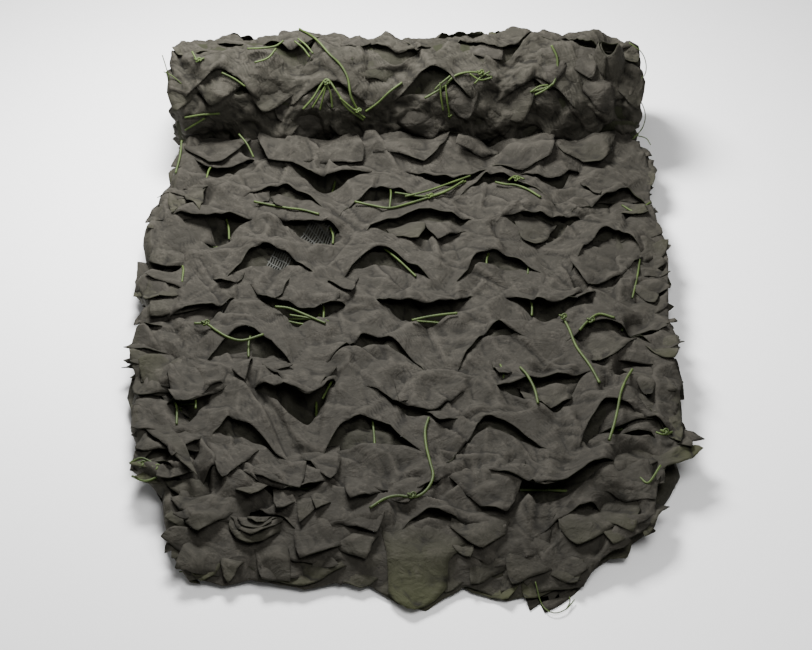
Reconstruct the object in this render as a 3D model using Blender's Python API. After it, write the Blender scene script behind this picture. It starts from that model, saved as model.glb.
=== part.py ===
"""Camouflage net, folded in three across its width and partly rolled up.

Metres, +Z up.  The net lies along Y on the plane z = 0: the roll is at the back (+Y) and
the loose end lies towards the front (-Y).  X runs across the folded width.
"""
import math
from bisect import bisect_right
from collections import namedtuple

import bmesh
import bpy
import numpy as np
from mathutils import Vector

MM = 0.001

# ---- Driving sizes -----------------------------------------------------------------
HALF_DEPTH = 0.485           # the origin is midway between the front edge and the roll's back
CLOTH = 2 * MM               # garnish cloth as a solid sheet
TWINE = 3 * MM               # carrier net and ties

ROLL_RADIUS = 0.079
ROLL_LENGTH = 0.612
ROLL_Y = HALF_DEPTH - 0.0865
ROLL_AXIS_Z = 0.075          # lower than the radius, which leaves a flat spot underneath

BACK_Y = 0.317               # where the loose end goes in under the roll
STACK_FRONT_Y = -0.437       # front of the two lower layers
STACK_HEIGHT = 0.047         # top layer's cloth over most of the loose end
MIDDLE_SHARE = 0.42          # the middle layer's height as a share of the top layer's
TOP_CRUMPLE = 5 * MM
MIDDLE_CRUMPLE = 2 * MM
CUT_PITCH = 0.135            # from one gap to the next in a row

TOP_COLUMNS = 36             # 8 columns to a pitch
COLUMNS_PER_PITCH = 8
HALF_PITCH = COLUMNS_PER_PITCH // 2
GAP_REACH = 3                # columns from a gap's middle to its end, top layer
TURN_X_REACH = HALF_PITCH / GAP_REACH                  # on from a gap's end to the next turn
TURN_Y_REACH = 2 / (1 - math.cos(math.pi * GAP_REACH / HALF_PITCH))
LOWER_COLUMNS = 16           # 4 columns to a pitch in the two lower layers
LOWER_GAPE = 8 * MM
FOLD_POINTS = 3              # between two layers, around each turn of the cloth
TURN_ROOM = 9 * MM           # the left turn bulges this far past the top layer's points
MIDDLE_INSET_LEFT = 20 * MM  # lower layers, in from the outline
MIDDLE_INSET_RIGHT = 24 * MM

# ---- Colours, linear ---------------------------------------------------------------
GARNISH_BROWN = (0.100, 0.092, 0.080)
GARNISH_SHADE = (0.070, 0.065, 0.056)
TWINE_GREEN = (0.210, 0.290, 0.085)

# ---- Tables, in millimetres --------------------------------------------------------
Height = namedtuple("Height", "y z")
TOP_HEIGHTS = [
    Height(-485, 2.0), Height(-455, 10.0), Height(-430, 22.0), Height(-380, 36.0),
    Height(-300, 45.0), Height(200, 47.0), Height(290, 46.0), Height(340, 44.0),
]

Edge = namedtuple("Edge", "y x")
LEFT_EDGE = [
    Edge(-453, -222), Edge(-424, -243), Edge(-379, -255), Edge(-332, -262), Edge(-296, -300),
    Edge(-275, -288), Edge(-233, -304), Edge(-185, -310), Edge(-154, -302), Edge(-105, -320),
    Edge(-62, -313), Edge(-14, -306), Edge(25, -327), Edge(55, -314), Edge(117, -324),
    Edge(149, -320), Edge(226, -304), Edge(306, -290),
]
RIGHT_EDGE = [
    Edge(-460, 182), Edge(-427, 206), Edge(-402, 246), Edge(-379, 262), Edge(-316, 275),
    Edge(-283, 290), Edge(-258, 328), Edge(-240, 306), Edge(-216, 302), Edge(-163, 313),
    Edge(-127, 303), Edge(-100, 316), Edge(-53, 307), Edge(5, 313), Edge(107, 320),
    Edge(138, 312), Edge(193, 308), Edge(260, 315), Edge(306, 304),
]
FRONT_EDGE = [
    Edge(-449, -214), Edge(-455, -188), Edge(-449, -160), Edge(-460, -106), Edge(-452, -72),
    Edge(-455, -36), Edge(-478, -8), Edge(-485, 20), Edge(-470, 40), Edge(-456, 60),
    Edge(-472, 104), Edge(-462, 146), Edge(-456, 186),
]

# Rows of gaps from the back to the front.  In an arch row each gap is open below an
# arched edge, in a tongue row it is open below a hanging tongue of cloth.
Row = namedtuple("Row", "name arch step_behind")
ROWS = [
    Row("R1", False, True), Row("R2", True, True), Row("R3", False, False),
    Row("R4", True, True), Row("R5", False, True), Row("R6", True, True),
    Row("R7", False, True), Row("R8", True, True), Row("R9", False, True),
    Row("R10", True, True), Row("R11", False, False),
]

# The cut's left end, the top of its arch or the tip of its tongue, and its right end.
Gap = namedtuple("Gap", "row column left_x left_y x y right_x right_y gape lift")
TOP_GAPS = [
    Gap("R1", 4, -271, 286, -241, 263, -207, 284, 14, 3),
    Gap("R1", 12, -147, 282, -97, 246, -49, 258, 19, 5),
    Gap("R1", 20, 8, 263, 53, 232, 90, 253, 12, 4),
    Gap("R1", 28, 160, 274, 192, 246, 224, 265, 14, 3),
    Gap("R2", 8, -205, 193, -156, 225, -105, 158, 27, 5),
    Gap("R2", 16, -68, 187, -30, 218, 30, 195, 25, 5),
    Gap("R2", 24, 69, 195, 110, 241, 176, 193, 16, 4),
    Gap("R2", 32, 248, 174, 277, 211, 306, 180, 27, 6),
    Gap("R3", 4, -271, 154, -238, 143, -194, 152, 42, 5),
    Gap("R3", 12, -157, 154, -109, 137, -69, 114, 38, 4),
    Gap("R3", 20, -62, 143, 27, 165, 81, 141, 55, 5),
    Gap("R3", 28, 117, 154, 174, 152, 219, 158, 42, 5),
    Gap("R4", 8, -216, 32, -178, 85, -113, 24, 31, 6),
    Gap("R4", 16, -72, 50, -27, 83, 31, 14, 29, 5),
    Gap("R4", 24, 59, 30, 101, 79, 172, 34, 24, 5),
    Gap("R4", 32, 192, 48, 247, 124, 296, 66, 50, 7),
    Gap("R5", 4, -265, -48, -235, -35, -199, -15, 23, 4),
    Gap("R5", 12, -176, 6, -123, -29, -69, -35, 31, 6),
    Gap("R5", 20, -39, 6, 24, -35, 78, -4, 27, 6),
    Gap("R5", 28, 120, -6, 166, -29, 209, -4, 27, 5),
    Gap("R6", 8, -228, -126, -184, -74, -128, -141, 41, 6),
    Gap("R6", 16, -96, -133, -42, -78, 25, -162, 15, 5),
    Gap("R6", 24, 56, -119, 98, -74, 140, -115, 9, 5),
    Gap("R6", 32, 192, -89, 230, -61, 263, -106, 26, 6),
    Gap("R7", 4, -279, -183, -252, -206, -217, -169, 31, 6),
    Gap("R7", 12, -163, -162, -111, -197, -74, -171, 31, 8),
    Gap("R7", 20, -50, -158, 20, -221, 74, -211, 7, 5),
    Gap("R7", 28, 95, -148, 161, -160, 213, -151, 49, 5),
    Gap("R8", 8, -215, -255, -190, -230, -117, -305, 24, 5),
    Gap("R8", 16, -107, -283, -56, -230, 23, -307, 47, 6),
    Gap("R8", 24, 48, -275, 91, -231, 164, -296, 20, 5),
    Gap("R8", 32, 181, -265, 223, -206, 271, -255, 58, 7),
    Gap("R9", 4, -275, -298, -226, -325, -193, -324, 14, 4),
    Gap("R9", 12, -186, -298, -122, -345, -73, -324, 8, 5),
    Gap("R9", 20, -69, -335, -4, -345, 41, -345, 6, 5),
    Gap("R9", 28, 99, -296, 150, -341, 234, -296, 14, 7),
    Gap("R10", 8, -199, -376, -162, -357, -120, -382, 8, 4),
    Gap("R10", 16, -84, -408, -59, -389, -29, -403, 9, 5),
    Gap("R10", 24, -13, -393, 26, -374, 69, -405, 8, 5),
    Gap("R10", 32, 158, -396, 197, -364, 236, -389, 8, 5),
    Gap("R11", 12, -140, -424, -104, -434, -68, -428, 8, 3),
    Gap("R11", 28, 62, -424, 98, -438, 134, -424, 8, 3),
]


# ---- Small helpers -----------------------------------------------------------------
def clear_scene():
    for item in list(bpy.data.objects):
        bpy.data.objects.remove(item, do_unlink=True)


def material(name, colour):
    made = bpy.data.materials.new(name)
    made.use_nodes = True
    shader = made.node_tree.nodes["Principled BSDF"]
    shader.inputs["Base Color"].default_value = (*colour, 1.0)
    shader.inputs["Roughness"].default_value = 0.9
    shader.inputs["Metallic"].default_value = 0.0
    return made


def new_object(name, mesh, finish):
    mesh.materials.append(finish)
    made = bpy.data.objects.new(name, mesh)
    bpy.context.scene.collection.objects.link(made)
    return made


def read_table(table, at, key, value):
    """Read one column of a table against another, in metres."""
    keys = [getattr(row, key) * MM for row in table]
    values = [getattr(row, value) * MM for row in table]
    return float(np.interp(at, keys, values))


def edge_x(table, y):
    return read_table(table, y, "y", "x")


def crumple(x, y, size):
    """The unevenness of crumpled layers, as three crossing swells."""
    broad = math.sin(19.0 * x + 11.0 * y + 0.7) * math.cos(15.0 * y - 6.0 * x)
    cross = math.sin(31.0 * x - 24.0 * y + 2.1)
    fine = math.cos(47.0 * y + 22.0 * x)
    return size * (0.5 * broad + 0.3 * cross + 0.2 * fine)


# ---- Heights of the layers ---------------------------------------------------------
def top_height(x, y):
    """Middle of the top layer's cloth."""
    rest = read_table(TOP_HEIGHTS, y, "y", "z")
    return rest + crumple(x, y, TOP_CRUMPLE) * rest / STACK_HEIGHT


def middle_height(x, y):
    rest = read_table(TOP_HEIGHTS, y, "y", "z")
    swell = crumple(x + 0.3, y, MIDDLE_CRUMPLE) * rest / STACK_HEIGHT
    return MIDDLE_SHARE * rest + swell


# ---- Lines across the top layer ----------------------------------------------------
def wave(column):
    """A wave with a crest at every pitch, from -1 in a trough to 1 on a crest."""
    return math.cos(2 * math.pi * column / COLUMNS_PER_PITCH)


def row_turns(gaps):
    """Crests and troughs of a row of gaps, half a pitch apart, as {column: places}."""
    turns = {}
    for gap in gaps:
        turns[gap.column] = [(gap.x, gap.y)]
    for gap in gaps:
        for side, x, y in ((-1, gap.left_x, gap.left_y), (1, gap.right_x, gap.right_y)):
            column = gap.column + side * HALF_PITCH
            place = (gap.x + TURN_X_REACH * (x - gap.x), gap.y + TURN_Y_REACH * (y - gap.y))
            turns.setdefault(column, []).append(place)
    turns.setdefault(0, [(0, gaps[0].y)])
    turns.setdefault(TOP_COLUMNS, [(0, gaps[-1].y)])
    return turns


def row_line(row):
    """Points of one row of gaps, a point for each column of the top layer."""
    turns = row_turns([gap for gap in TOP_GAPS if gap.row == row.name])
    knots = sorted(turns)
    xs = [MM * sum(x for x, y in turns[knot]) / len(turns[knot]) for knot in knots]
    ys = [MM * sum(y for x, y in turns[knot]) / len(turns[knot]) for knot in knots]
    xs[0] = edge_x(LEFT_EDGE, ys[0]) + TURN_ROOM
    xs[-1] = edge_x(RIGHT_EDGE, ys[-1])
    points = []
    for column in range(TOP_COLUMNS + 1):
        here = min(bisect_right(knots, column), len(knots) - 1) - 1
        share = (column - knots[here]) / (knots[here + 1] - knots[here])
        eased = (1 - math.cos(math.pi * share)) / 2
        x = xs[here] + share * (xs[here + 1] - xs[here])
        points.append((x, ys[here] + eased * (ys[here + 1] - ys[here])))
    return points


def back_line(y):
    left = edge_x(LEFT_EDGE, y) + TURN_ROOM
    right = edge_x(RIGHT_EDGE, y)
    return [(x, y) for x in np.linspace(left, right, TOP_COLUMNS + 1)]


def front_line():
    points = []
    left = FRONT_EDGE[0].x * MM
    right = FRONT_EDGE[-1].x * MM
    for i in range(TOP_COLUMNS + 1):
        x = left + (right - left) * i / TOP_COLUMNS
        points.append((x, read_table(FRONT_EDGE, x, "x", "y")))
    return points


Line = namedtuple("Line", "row points")


def gap_profile(column, centre):
    """0 at a gap's ends, 1 at its middle."""
    return math.sin(math.pi * (column - centre + GAP_REACH) / (2 * GAP_REACH))


def gap_openings(line):
    """Each gap of a line with the columns inside it and how far it is open there."""
    for gap in TOP_GAPS:
        if line.row and gap.row == line.row.name:
            for i in range(gap.column - GAP_REACH + 1, gap.column + GAP_REACH):
                yield gap, i, gap_profile(i, gap.column)


def front_lips(line):
    """A line's points on the front side of its gaps."""
    points = list(line.points)
    for gap, i, opening in gap_openings(line):
        points[i] = (points[i][0], points[i][1] - gap.gape * MM * opening)
    return points


def halfway(line, points):
    """A plain line midway between a line's front lips and the next line's points."""
    pairs = zip(front_lips(line), points)
    return Line(None, [((a[0] + b[0]) / 2, (a[1] + b[1]) / 2) for a, b in pairs])


def top_lines():
    """Every line across the top layer, from the back to the front."""
    lines = [Line(None, back_line(BACK_Y))]
    for row in ROWS:
        points = row_line(row)
        if row.step_behind:
            lines.append(halfway(lines[-1], points))
        lines.append(Line(row, points))
    front = front_line()
    lines.append(halfway(lines[-1], front))
    lines.append(Line(None, front))
    return lines


# ---- The back-and-forth section ----------------------------------------------------
def top_points(line, is_front_side):
    """The top layer's points on one line, right to left, at one side of its gaps."""
    places = [Vector((x, y, top_height(x, y))) for x, y in line.points]
    for gap, i, opening in gap_openings(line):
        if is_front_side:
            places[i].y -= gap.gape * MM * opening
            places[i].z -= 0.5 * gap.lift * MM * opening
        else:
            places[i].z += gap.lift * MM * opening
    return places[::-1]


def lower_gap_columns(row):
    """Middle columns of one row's gaps in a lower layer."""
    if row is None:
        return []
    first = 2 if row.arch else 4
    return range(first, LOWER_COLUMNS - 1, 4)


def lower_points(line_y, row, height, rightwards, is_front_side):
    left = edge_x(LEFT_EDGE, line_y) + MIDDLE_INSET_LEFT
    right = edge_x(RIGHT_EDGE, line_y) - MIDDLE_INSET_RIGHT
    places = []
    for i in range(LOWER_COLUMNS + 1):
        x = left + (right - left) * i / LOWER_COLUMNS
        y = line_y
        if i in lower_gap_columns(row):
            y += -LOWER_GAPE if is_front_side else LOWER_GAPE
        places.append(Vector((x, y, height(x, y))))
    return places if rightwards else places[::-1]


def fold_points(upper, lower, outwards):
    """The round turn of the cloth between two layers."""
    centre = (upper + lower) / 2
    half = (upper - lower) / 2
    bulge = Vector((outwards * abs(half.z), 0, 0))
    points = []
    for step in range(1, FOLD_POINTS + 1):
        angle = math.pi * step / (FOLD_POINTS + 1)
        points.append(centre + half * math.cos(angle) + bulge * math.sin(angle))
    return points


def bottom_height(x, y):
    return CLOTH / 2


def section(line, line_y, is_front_side):
    """One back-and-forth section: top layer, turn, middle layer, turn, bottom layer."""
    top = top_points(line, is_front_side)
    middle = lower_points(line_y, line.row, middle_height, True, is_front_side)
    bottom = lower_points(line_y, line.row, bottom_height, False, is_front_side)
    left_turn = fold_points(top[-1], middle[0], -1)
    right_turn = fold_points(middle[-1], bottom[0], 1)
    return top + left_turn + middle + right_turn + bottom


def open_columns(line):
    """Section columns that lie inside a gap of this line, its ends left out."""
    if line.row is None:
        return set()
    inside = set()
    for gap in TOP_GAPS:
        if gap.row == line.row.name:
            for i in range(gap.column - GAP_REACH + 1, gap.column + GAP_REACH):
                inside.add(TOP_COLUMNS - i)
    middle_start = TOP_COLUMNS + 1 + FOLD_POINTS
    bottom_start = middle_start + LOWER_COLUMNS + 1 + FOLD_POINTS
    for i in lower_gap_columns(line.row):
        inside.add(middle_start + i)
        inside.add(bottom_start + LOWER_COLUMNS - i)
    return inside


def lower_line_ys(lines):
    """Where the lower layers' lines lie: level with the top layer's, but straight."""
    ys = [sum(point[1] for point in line.points) / len(line.points) for line in lines]
    squeeze = (BACK_Y - STACK_FRONT_Y) / (ys[0] - ys[-1])
    return [BACK_Y - (ys[0] - y) * squeeze for y in ys]


def loose_end(finish):
    shape = bmesh.new()
    lines = top_lines()
    behind = None
    for line, line_y in zip(lines, lower_line_ys(lines)):
        back_side = [shape.verts.new(p) for p in section(line, line_y, False)]
        front_side = list(back_side)
        moved = section(line, line_y, True)
        for column in open_columns(line):
            front_side[column] = shape.verts.new(moved[column])
        if behind:
            for i in range(len(back_side) - 1):
                shape.faces.new((behind[i], behind[i + 1], back_side[i + 1], back_side[i]))
        behind = front_side
    bmesh.ops.triangulate(shape, faces=shape.faces[:])
    mesh = bpy.data.meshes.new("loose_end")
    shape.to_mesh(mesh)
    shape.free()
    made = new_object("loose_end", mesh, finish)
    wall = made.modifiers.new("Cloth thickness", "SOLIDIFY")
    wall.thickness = CLOTH
    wall.offset = 0.0
    return made


# ---- The roll ----------------------------------------------------------------------
ROLL_RINGS = 22
ROLL_BANDS = 6               # bands of cloth seen around the roll
BAND_STEP = 8 * MM           # each band's lower edge stands proud of the next band
BAND_WAVE = 0.24             # rise of a band's wavy edge, as a share of its width
BAND_SHARES = (0.0, 0.25, 0.50, 0.75, 0.97)
TURN_PITCH = 0.026           # between the turns that show at the roll's ends
TURN_RELIEF = 7 * MM
END_SHARES = (0.80, 0.60, 0.40, 0.20)


def band_start(band, x):
    """Angle of a band's wavy lower edge, in bands."""
    sway = BAND_WAVE * wave(COLUMNS_PER_PITCH * x / CUT_PITCH + 4 * (band % 2))
    return band + sway + 0.10 * math.sin(17 * x + 2.4 * (band % ROLL_BANDS))


def roll_angles(x):
    """Angles around the roll, from the front upwards, that follow the bands' wavy edges."""
    angles = []
    for band in range(ROLL_BANDS):
        start = band_start(band, x)
        width = band_start(band + 1, x) - start
        for share in BAND_SHARES:
            angles.append(2 * math.pi * (start + share * width) / ROLL_BANDS)
    return angles


def roll_radius(angle, share, x):
    """Lumpy outer radius: bands of cloth that overlap like shingles."""
    shingle = BAND_STEP * (0.5 - share)
    lumps = 3 * MM * math.sin(23 * x + 2 * angle) + 2 * MM * math.sin(41 * x - 3 * angle)
    taper = 6 * MM * (abs(x) / (ROLL_LENGTH / 2)) ** 4
    return ROLL_RADIUS + shingle + lumps - taper


def roll_point(angle, radius, x):
    y = ROLL_Y - radius * math.cos(angle)
    z = ROLL_AXIS_Z + radius * math.sin(angle)
    return Vector((x, y, max(z, 0.0)))


def roll_ring(x):
    """One ring of points around the roll's outside."""
    ring = []
    for i, angle in enumerate(roll_angles(x)):
        share = BAND_SHARES[i % len(BAND_SHARES)]
        ring.append(roll_point(angle, roll_radius(angle, share, x), x))
    return ring


def end_ring(outer, share, side):
    """A ring of the roll's end, where the wound turns stand out and in along a spiral."""
    ring = []
    hub = Vector((outer[0].x, ROLL_Y, ROLL_AXIS_Z))
    for i, point in enumerate(outer):
        turn = share * ROLL_RADIUS / TURN_PITCH - i / len(outer)
        relief = TURN_RELIEF * (abs((turn % 1.0) * 2 - 1) - 0.7)
        place = hub + (point - hub) * share
        ring.append(place + Vector((side * relief, 0, 0)))
    return ring


def rolled_net(finish):
    shape = bmesh.new()
    places = [ROLL_LENGTH * (step / ROLL_RINGS - 0.5) for step in range(ROLL_RINGS + 1)]
    outer = [roll_ring(x) for x in places]
    left = [end_ring(outer[0], share, -1) for share in END_SHARES[::-1]]
    right = [end_ring(outer[-1], share, 1) for share in END_SHARES]
    rings = [[shape.verts.new(point) for point in ring] for ring in left + outer + right]
    sides = len(rings[0])
    for near, far in zip(rings, rings[1:]):
        for i in range(sides):
            j = (i + 1) % sides
            shape.faces.new((near[i], near[j], far[j], far[i]))
    for ring, side in ((rings[0], -1), (rings[-1], 1)):
        hub_x = side * (ROLL_LENGTH / 2 - TURN_RELIEF)
        hub = shape.verts.new((hub_x, ROLL_Y, ROLL_AXIS_Z))
        for i in range(sides):
            shape.faces.new((ring[i], ring[(i + 1) % sides], hub))
    bmesh.ops.recalc_face_normals(shape, faces=shape.faces[:])
    bmesh.ops.triangulate(shape, faces=shape.faces[:])
    mesh = bpy.data.meshes.new("rolled_net")
    shape.to_mesh(mesh)
    shape.free()
    return new_object("rolled_net", mesh, finish)


# ---- The carrier net ---------------------------------------------------------------
NET_MESH = 0.100             # strand to strand, every second strand of the real net
NET_CELLS_ACROSS = 5
NET_CELLS_ALONG = 6
NET_BACK_Y = 0.278
NET_CLEARANCE = 2 * MM       # above the middle layer


def carrier_net(finish):
    """Knotted twine lattice between the top layer and the middle one."""
    shape = bmesh.new()
    rows = []
    for along in range(NET_CELLS_ALONG + 1):
        row = []
        for across in range(NET_CELLS_ACROSS + 1):
            x = NET_MESH * (across - NET_CELLS_ACROSS / 2)
            y = NET_BACK_Y - NET_MESH * along
            x += crumple(y, x, 14 * MM)
            y += crumple(x + 0.4, y, 14 * MM)
            z = middle_height(x, y) + CLOTH / 2 + TWINE / 2 + NET_CLEARANCE
            row.append(shape.verts.new((x, y, z)))
        rows.append(row)
    for back, front in zip(rows, rows[1:]):
        for i in range(NET_CELLS_ACROSS):
            shape.faces.new((back[i], front[i], front[i + 1], back[i + 1]))
    mesh = bpy.data.meshes.new("carrier_net")
    shape.to_mesh(mesh)
    shape.free()
    made = new_object("carrier_net", mesh, finish)
    strands = made.modifiers.new("Twine strands", "WIREFRAME")
    strands.thickness = TWINE
    strands.offset = 0.0
    strands.use_replace = True
    strands.use_boundary = True
    return made


# ---- Loose twine ties --------------------------------------------------------------
TIE_STEP = 2.5 * TWINE       # between the points of a tie's centre line
CURVE_SAMPLES = 24           # between two route points, before they are spaced out evenly

# Routes of the ties that lie free on the cloth, in millimetres, from end to end.
TIE_ROUTES = {
    "tie_01": [(-140, 428, 155), (-118, 395, 160), (-99, 368, 153), (-84, 356, 143),
               (-75, 342, 132), (-71, 327, 115), (-62, 321, 96)],
    "tie_02": [(-133, 320, 99), (-120, 328, 111), (-109, 340, 124), (-101, 344, 129),
               (-89, 330, 119), (-76, 321, 101), (-55, 318, 84)],
    "tie_03": [(-5, 337, 129), (-21, 329, 120), (-37, 323, 106), (-52, 321, 95)],
    "tie_04": [(24, 323, 114), (39, 328, 121), (52, 336, 127), (63, 345, 134),
               (80, 349, 137), (97, 348, 136), (111, 342, 134)],
    "tie_05": [(188, 376, 161), (195, 364, 150), (195, 353, 137), (190, 341, 125),
               (178, 337, 120), (161, 335, 116)],
    "tie_06": [(-64, 178, 53), (-42, 171, 52), (-20, 167, 51), (5, 179, 50), (30, 191, 51),
               (52, 202, 53), (73, 221, 55)],
    "tie_07": [(113, 217, 56), (126, 212, 56), (139, 210, 56), (154, 200, 56), (169, 186, 54)],
    "tie_08": [(183, -58, 53), (189, -80, 53), (196, -111, 51), (209, -143, 50),
               (218, -176, 51)],
    "tie_09": [(201, -84, 54), (211, -69, 55), (225, -56, 56), (243, -63, 56)],
    "tie_10": [(-246, -71, 54), (-232, -72, 54), (-220, -84, 54), (-205, -96, 53),
               (-188, -99, 51), (-165, -88, 51)],
    "tie_11": [(25, -240, 54), (21, -261, 54), (22, -285, 52), (26, -308, 49), (29, -329, 47),
               (22, -348, 45), (9, -357, 43), (-9, -356, 44), (-23, -361, 44),
               (-38, -375, 44)],
    "tie_12": [(130, -146, 49), (137, -162, 51), (144, -186, 51), (147, -212, 51)],
    "tie_13": [(256, -157, 55), (248, -175, 56), (240, -199, 57), (234, -229, 58),
               (228, -255, 57), (221, -279, 55)],
    "tie_14": [(-154, -34, 50), (-138, -37, 50), (-120, -47, 49), (-94, -67, 51)],
    "tie_15": [(7, -60, 50), (25, -55, 51), (42, -52, 52), (60, -49, 52)],
    "tie_16": [(-190, 178, 53), (-170, 171, 53), (-147, 164, 53), (-128, 157, 55),
               (-108, 148, 55)],
}


def smooth_curve(route):
    """Points of a smooth curve through a route's own points."""
    knots = [Vector(point) * MM for point in route]
    knots = [2 * knots[0] - knots[1]] + knots + [2 * knots[-1] - knots[-2]]
    points = []
    for before, start, end, after in zip(knots, knots[1:], knots[2:], knots[3:]):
        for step in range(CURVE_SAMPLES):
            t = step / CURVE_SAMPLES
            pull = (end - before) * t + (2 * before - 5 * start + 4 * end - after) * t ** 2
            pull += (3 * start - before - 3 * end + after) * t ** 3
            points.append(start + pull / 2)
    points.append(knots[-2])
    return points


def even_spacing(points, step):
    """The same line, with its points a step apart."""
    travelled = [0.0]
    for start, end in zip(points, points[1:]):
        travelled.append(travelled[-1] + (end - start).length)
    count = max(2, round(travelled[-1] / step)) + 1
    places = np.linspace(0.0, travelled[-1], count)
    return [tuple(np.interp(place, travelled, [p[k] for p in points]) for k in range(3))
            for place in places]


def tie(name, route, finish):
    points = even_spacing(smooth_curve(route), TIE_STEP)
    line = bpy.data.curves.new(name, "CURVE")
    line.dimensions = "3D"
    line.bevel_depth = TWINE / 2
    line.bevel_resolution = 2
    line.use_fill_caps = True
    spline = line.splines.new("POLY")
    spline.points.add(len(points) - 1)
    for point, place in zip(spline.points, points):
        point.co = (*place, 1.0)
    return new_object(name, line, finish)


def main():
    clear_scene()
    cloth = material("garnish_cloth", GARNISH_BROWN)
    shade = material("garnish_cloth_rolled", GARNISH_SHADE)
    twine = material("twine", TWINE_GREEN)
    loose_end(cloth)
    rolled_net(shade)
    carrier_net(twine)
    for name, route in TIE_ROUTES.items():
        tie(name, route, twine)


main()
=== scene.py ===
"""Looks of a camouflage net: incised cloth and green twine, folded and partly rolled up.

Metres, +Z up.  The roll lies at the back (+Y) and the loose end comes towards the camera.
Each Operator makes one piece or a group of like pieces.  Cloth is made as points and
faces on a lattice that follows its cuts, and twine as twisted tubes along smooth curves.
"""

import math
import random
from collections import namedtuple

import bpy
import numpy as np
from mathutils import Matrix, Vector, kdtree, noise


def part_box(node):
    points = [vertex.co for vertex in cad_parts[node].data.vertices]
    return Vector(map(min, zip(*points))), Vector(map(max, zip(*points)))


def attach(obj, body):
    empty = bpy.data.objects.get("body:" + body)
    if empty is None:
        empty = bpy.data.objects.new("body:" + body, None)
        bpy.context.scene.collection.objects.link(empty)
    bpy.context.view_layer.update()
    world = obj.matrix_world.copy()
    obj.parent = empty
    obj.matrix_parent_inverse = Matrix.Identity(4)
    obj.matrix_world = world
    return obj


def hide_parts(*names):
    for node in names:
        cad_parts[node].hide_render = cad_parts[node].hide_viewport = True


bl_info = {
    "name": "Camouflage net",
    "version": (1, 0, 0),
    "blender": (4, 5, 0),
    "location": "3D View > Sidebar > Net",
    "description": "Builds a folded and partly rolled camouflage net",
    "category": "Object",
}

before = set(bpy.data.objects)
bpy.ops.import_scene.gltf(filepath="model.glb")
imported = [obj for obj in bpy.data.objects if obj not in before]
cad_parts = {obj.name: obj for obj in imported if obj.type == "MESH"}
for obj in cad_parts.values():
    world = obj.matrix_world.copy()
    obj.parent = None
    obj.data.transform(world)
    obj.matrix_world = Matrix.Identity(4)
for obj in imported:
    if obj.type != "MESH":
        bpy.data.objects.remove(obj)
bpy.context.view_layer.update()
ROLL_LOW, ROLL_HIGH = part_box("rolled_net")

MM = 0.001

# ---- Driving sizes -----------------------------------------------------------------
CLOTH = 0.8 * MM             # one ply of garnish cloth
TWINE = 3 * MM
CELL = 3.5 * MM              # size of the cloth's mesh cells
HIDDEN_CELLS = 2             # how much longer the cells of the hidden layers are
FLOOR_GAP = 0.6 * MM         # lowest cloth above the floor
LOWEST = CLOTH + FLOOR_GAP   # upper face of cloth that lies on the floor

BACK_Y = 0.317               # where the loose end goes in under the roll
STACK_FRONT_Y = -0.437       # front of the lower layers
STACK_HEIGHT = 0.047
TOP_CRUMPLE = 5 * MM
COLUMNS = 36                 # 8 columns to a pitch of the cuts
PITCH_COLUMNS = 8
HALF_PITCH = PITCH_COLUMNS // 2
GAP_REACH = 3                # columns from a gap's middle to its end
CELLS_PER_COLUMN = 5
TURN_ROOM = 9 * MM           # the left turn bulges this far past the top layer
TURN_X_REACH = HALF_PITCH / GAP_REACH
TURN_Y_REACH = 2 / (1 - math.cos(math.pi * GAP_REACH / HALF_PITCH))
GAP_SHARPNESS = 1.5          # above 1 draws a gap out into narrow ends
EDGE_OVERLAP = 4 * MM        # how far the two edges of a cut overlap near its ends
LIFT_SHARE = 2.1             # a cut's raised edge against the solid's, less its fill
LIFT_REACH = 24 * MM         # how far back from a cut its raised edge is felt
TUCK_REACH = 20 * MM
OPEN_TUCK = 5                # millimetres that the edge behind an open gap goes down
FILLED_TUCK = 4              # less this much where the ply below fills the gap
EDGE_CURL = 3.5 * MM
CURL_REACH = 8 * MM
CURL_LENGTH = 0.030          # of one curl along an edge
CURL_DRIFT = 0.045
EDGE_KINK = 5 * MM           # how jagged a cut's edges are
KINK_LENGTH = 16 * MM
KINK_DRIFT = 0.05            # how far back the jags of a next cut still look alike

ROLL_RADIUS = 0.076
ROLL_Y = 0.485 - 0.0865
ROLL_AXIS_Z = 0.075
ROLL_HALF = (ROLL_HIGH.x - ROLL_LOW.x) / 2

# ---- Tables, in millimetres --------------------------------------------------------
Height = namedtuple("Height", "y z")
TOP_HEIGHTS = [Height(*row) for row in (
    (-485, 2.0), (-455, 10.0), (-430, 22.0), (-380, 36.0), (-300, 45.0), (200, 47.0), (290, 46.0),
    (340, 44.0),
)]

Edge = namedtuple("Edge", "y x")
LEFT_EDGE = [Edge(*row) for row in (
    (-453, -222), (-424, -243), (-379, -255), (-332, -262), (-296, -300), (-275, -288),
    (-233, -304), (-185, -310), (-154, -302), (-105, -320), (-62, -313), (-14, -306), (25, -327),
    (55, -314), (117, -324), (149, -320), (226, -304), (306, -290),
)]
RIGHT_EDGE = [Edge(*row) for row in (
    (-460, 182), (-427, 206), (-402, 246), (-379, 262), (-316, 275), (-283, 290), (-258, 328),
    (-240, 306), (-216, 302), (-163, 313), (-127, 303), (-100, 316), (-53, 307), (5, 313),
    (107, 320), (138, 312), (193, 308), (260, 315), (306, 304),
)]
FRONT_EDGE = [Edge(*row) for row in (
    (-449, -214), (-455, -188), (-449, -160), (-460, -106), (-452, -72), (-455, -36), (-478, -8),
    (-485, 20), (-470, 40), (-456, 60), (-472, 104), (-462, 146), (-456, 186),
)]

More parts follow.
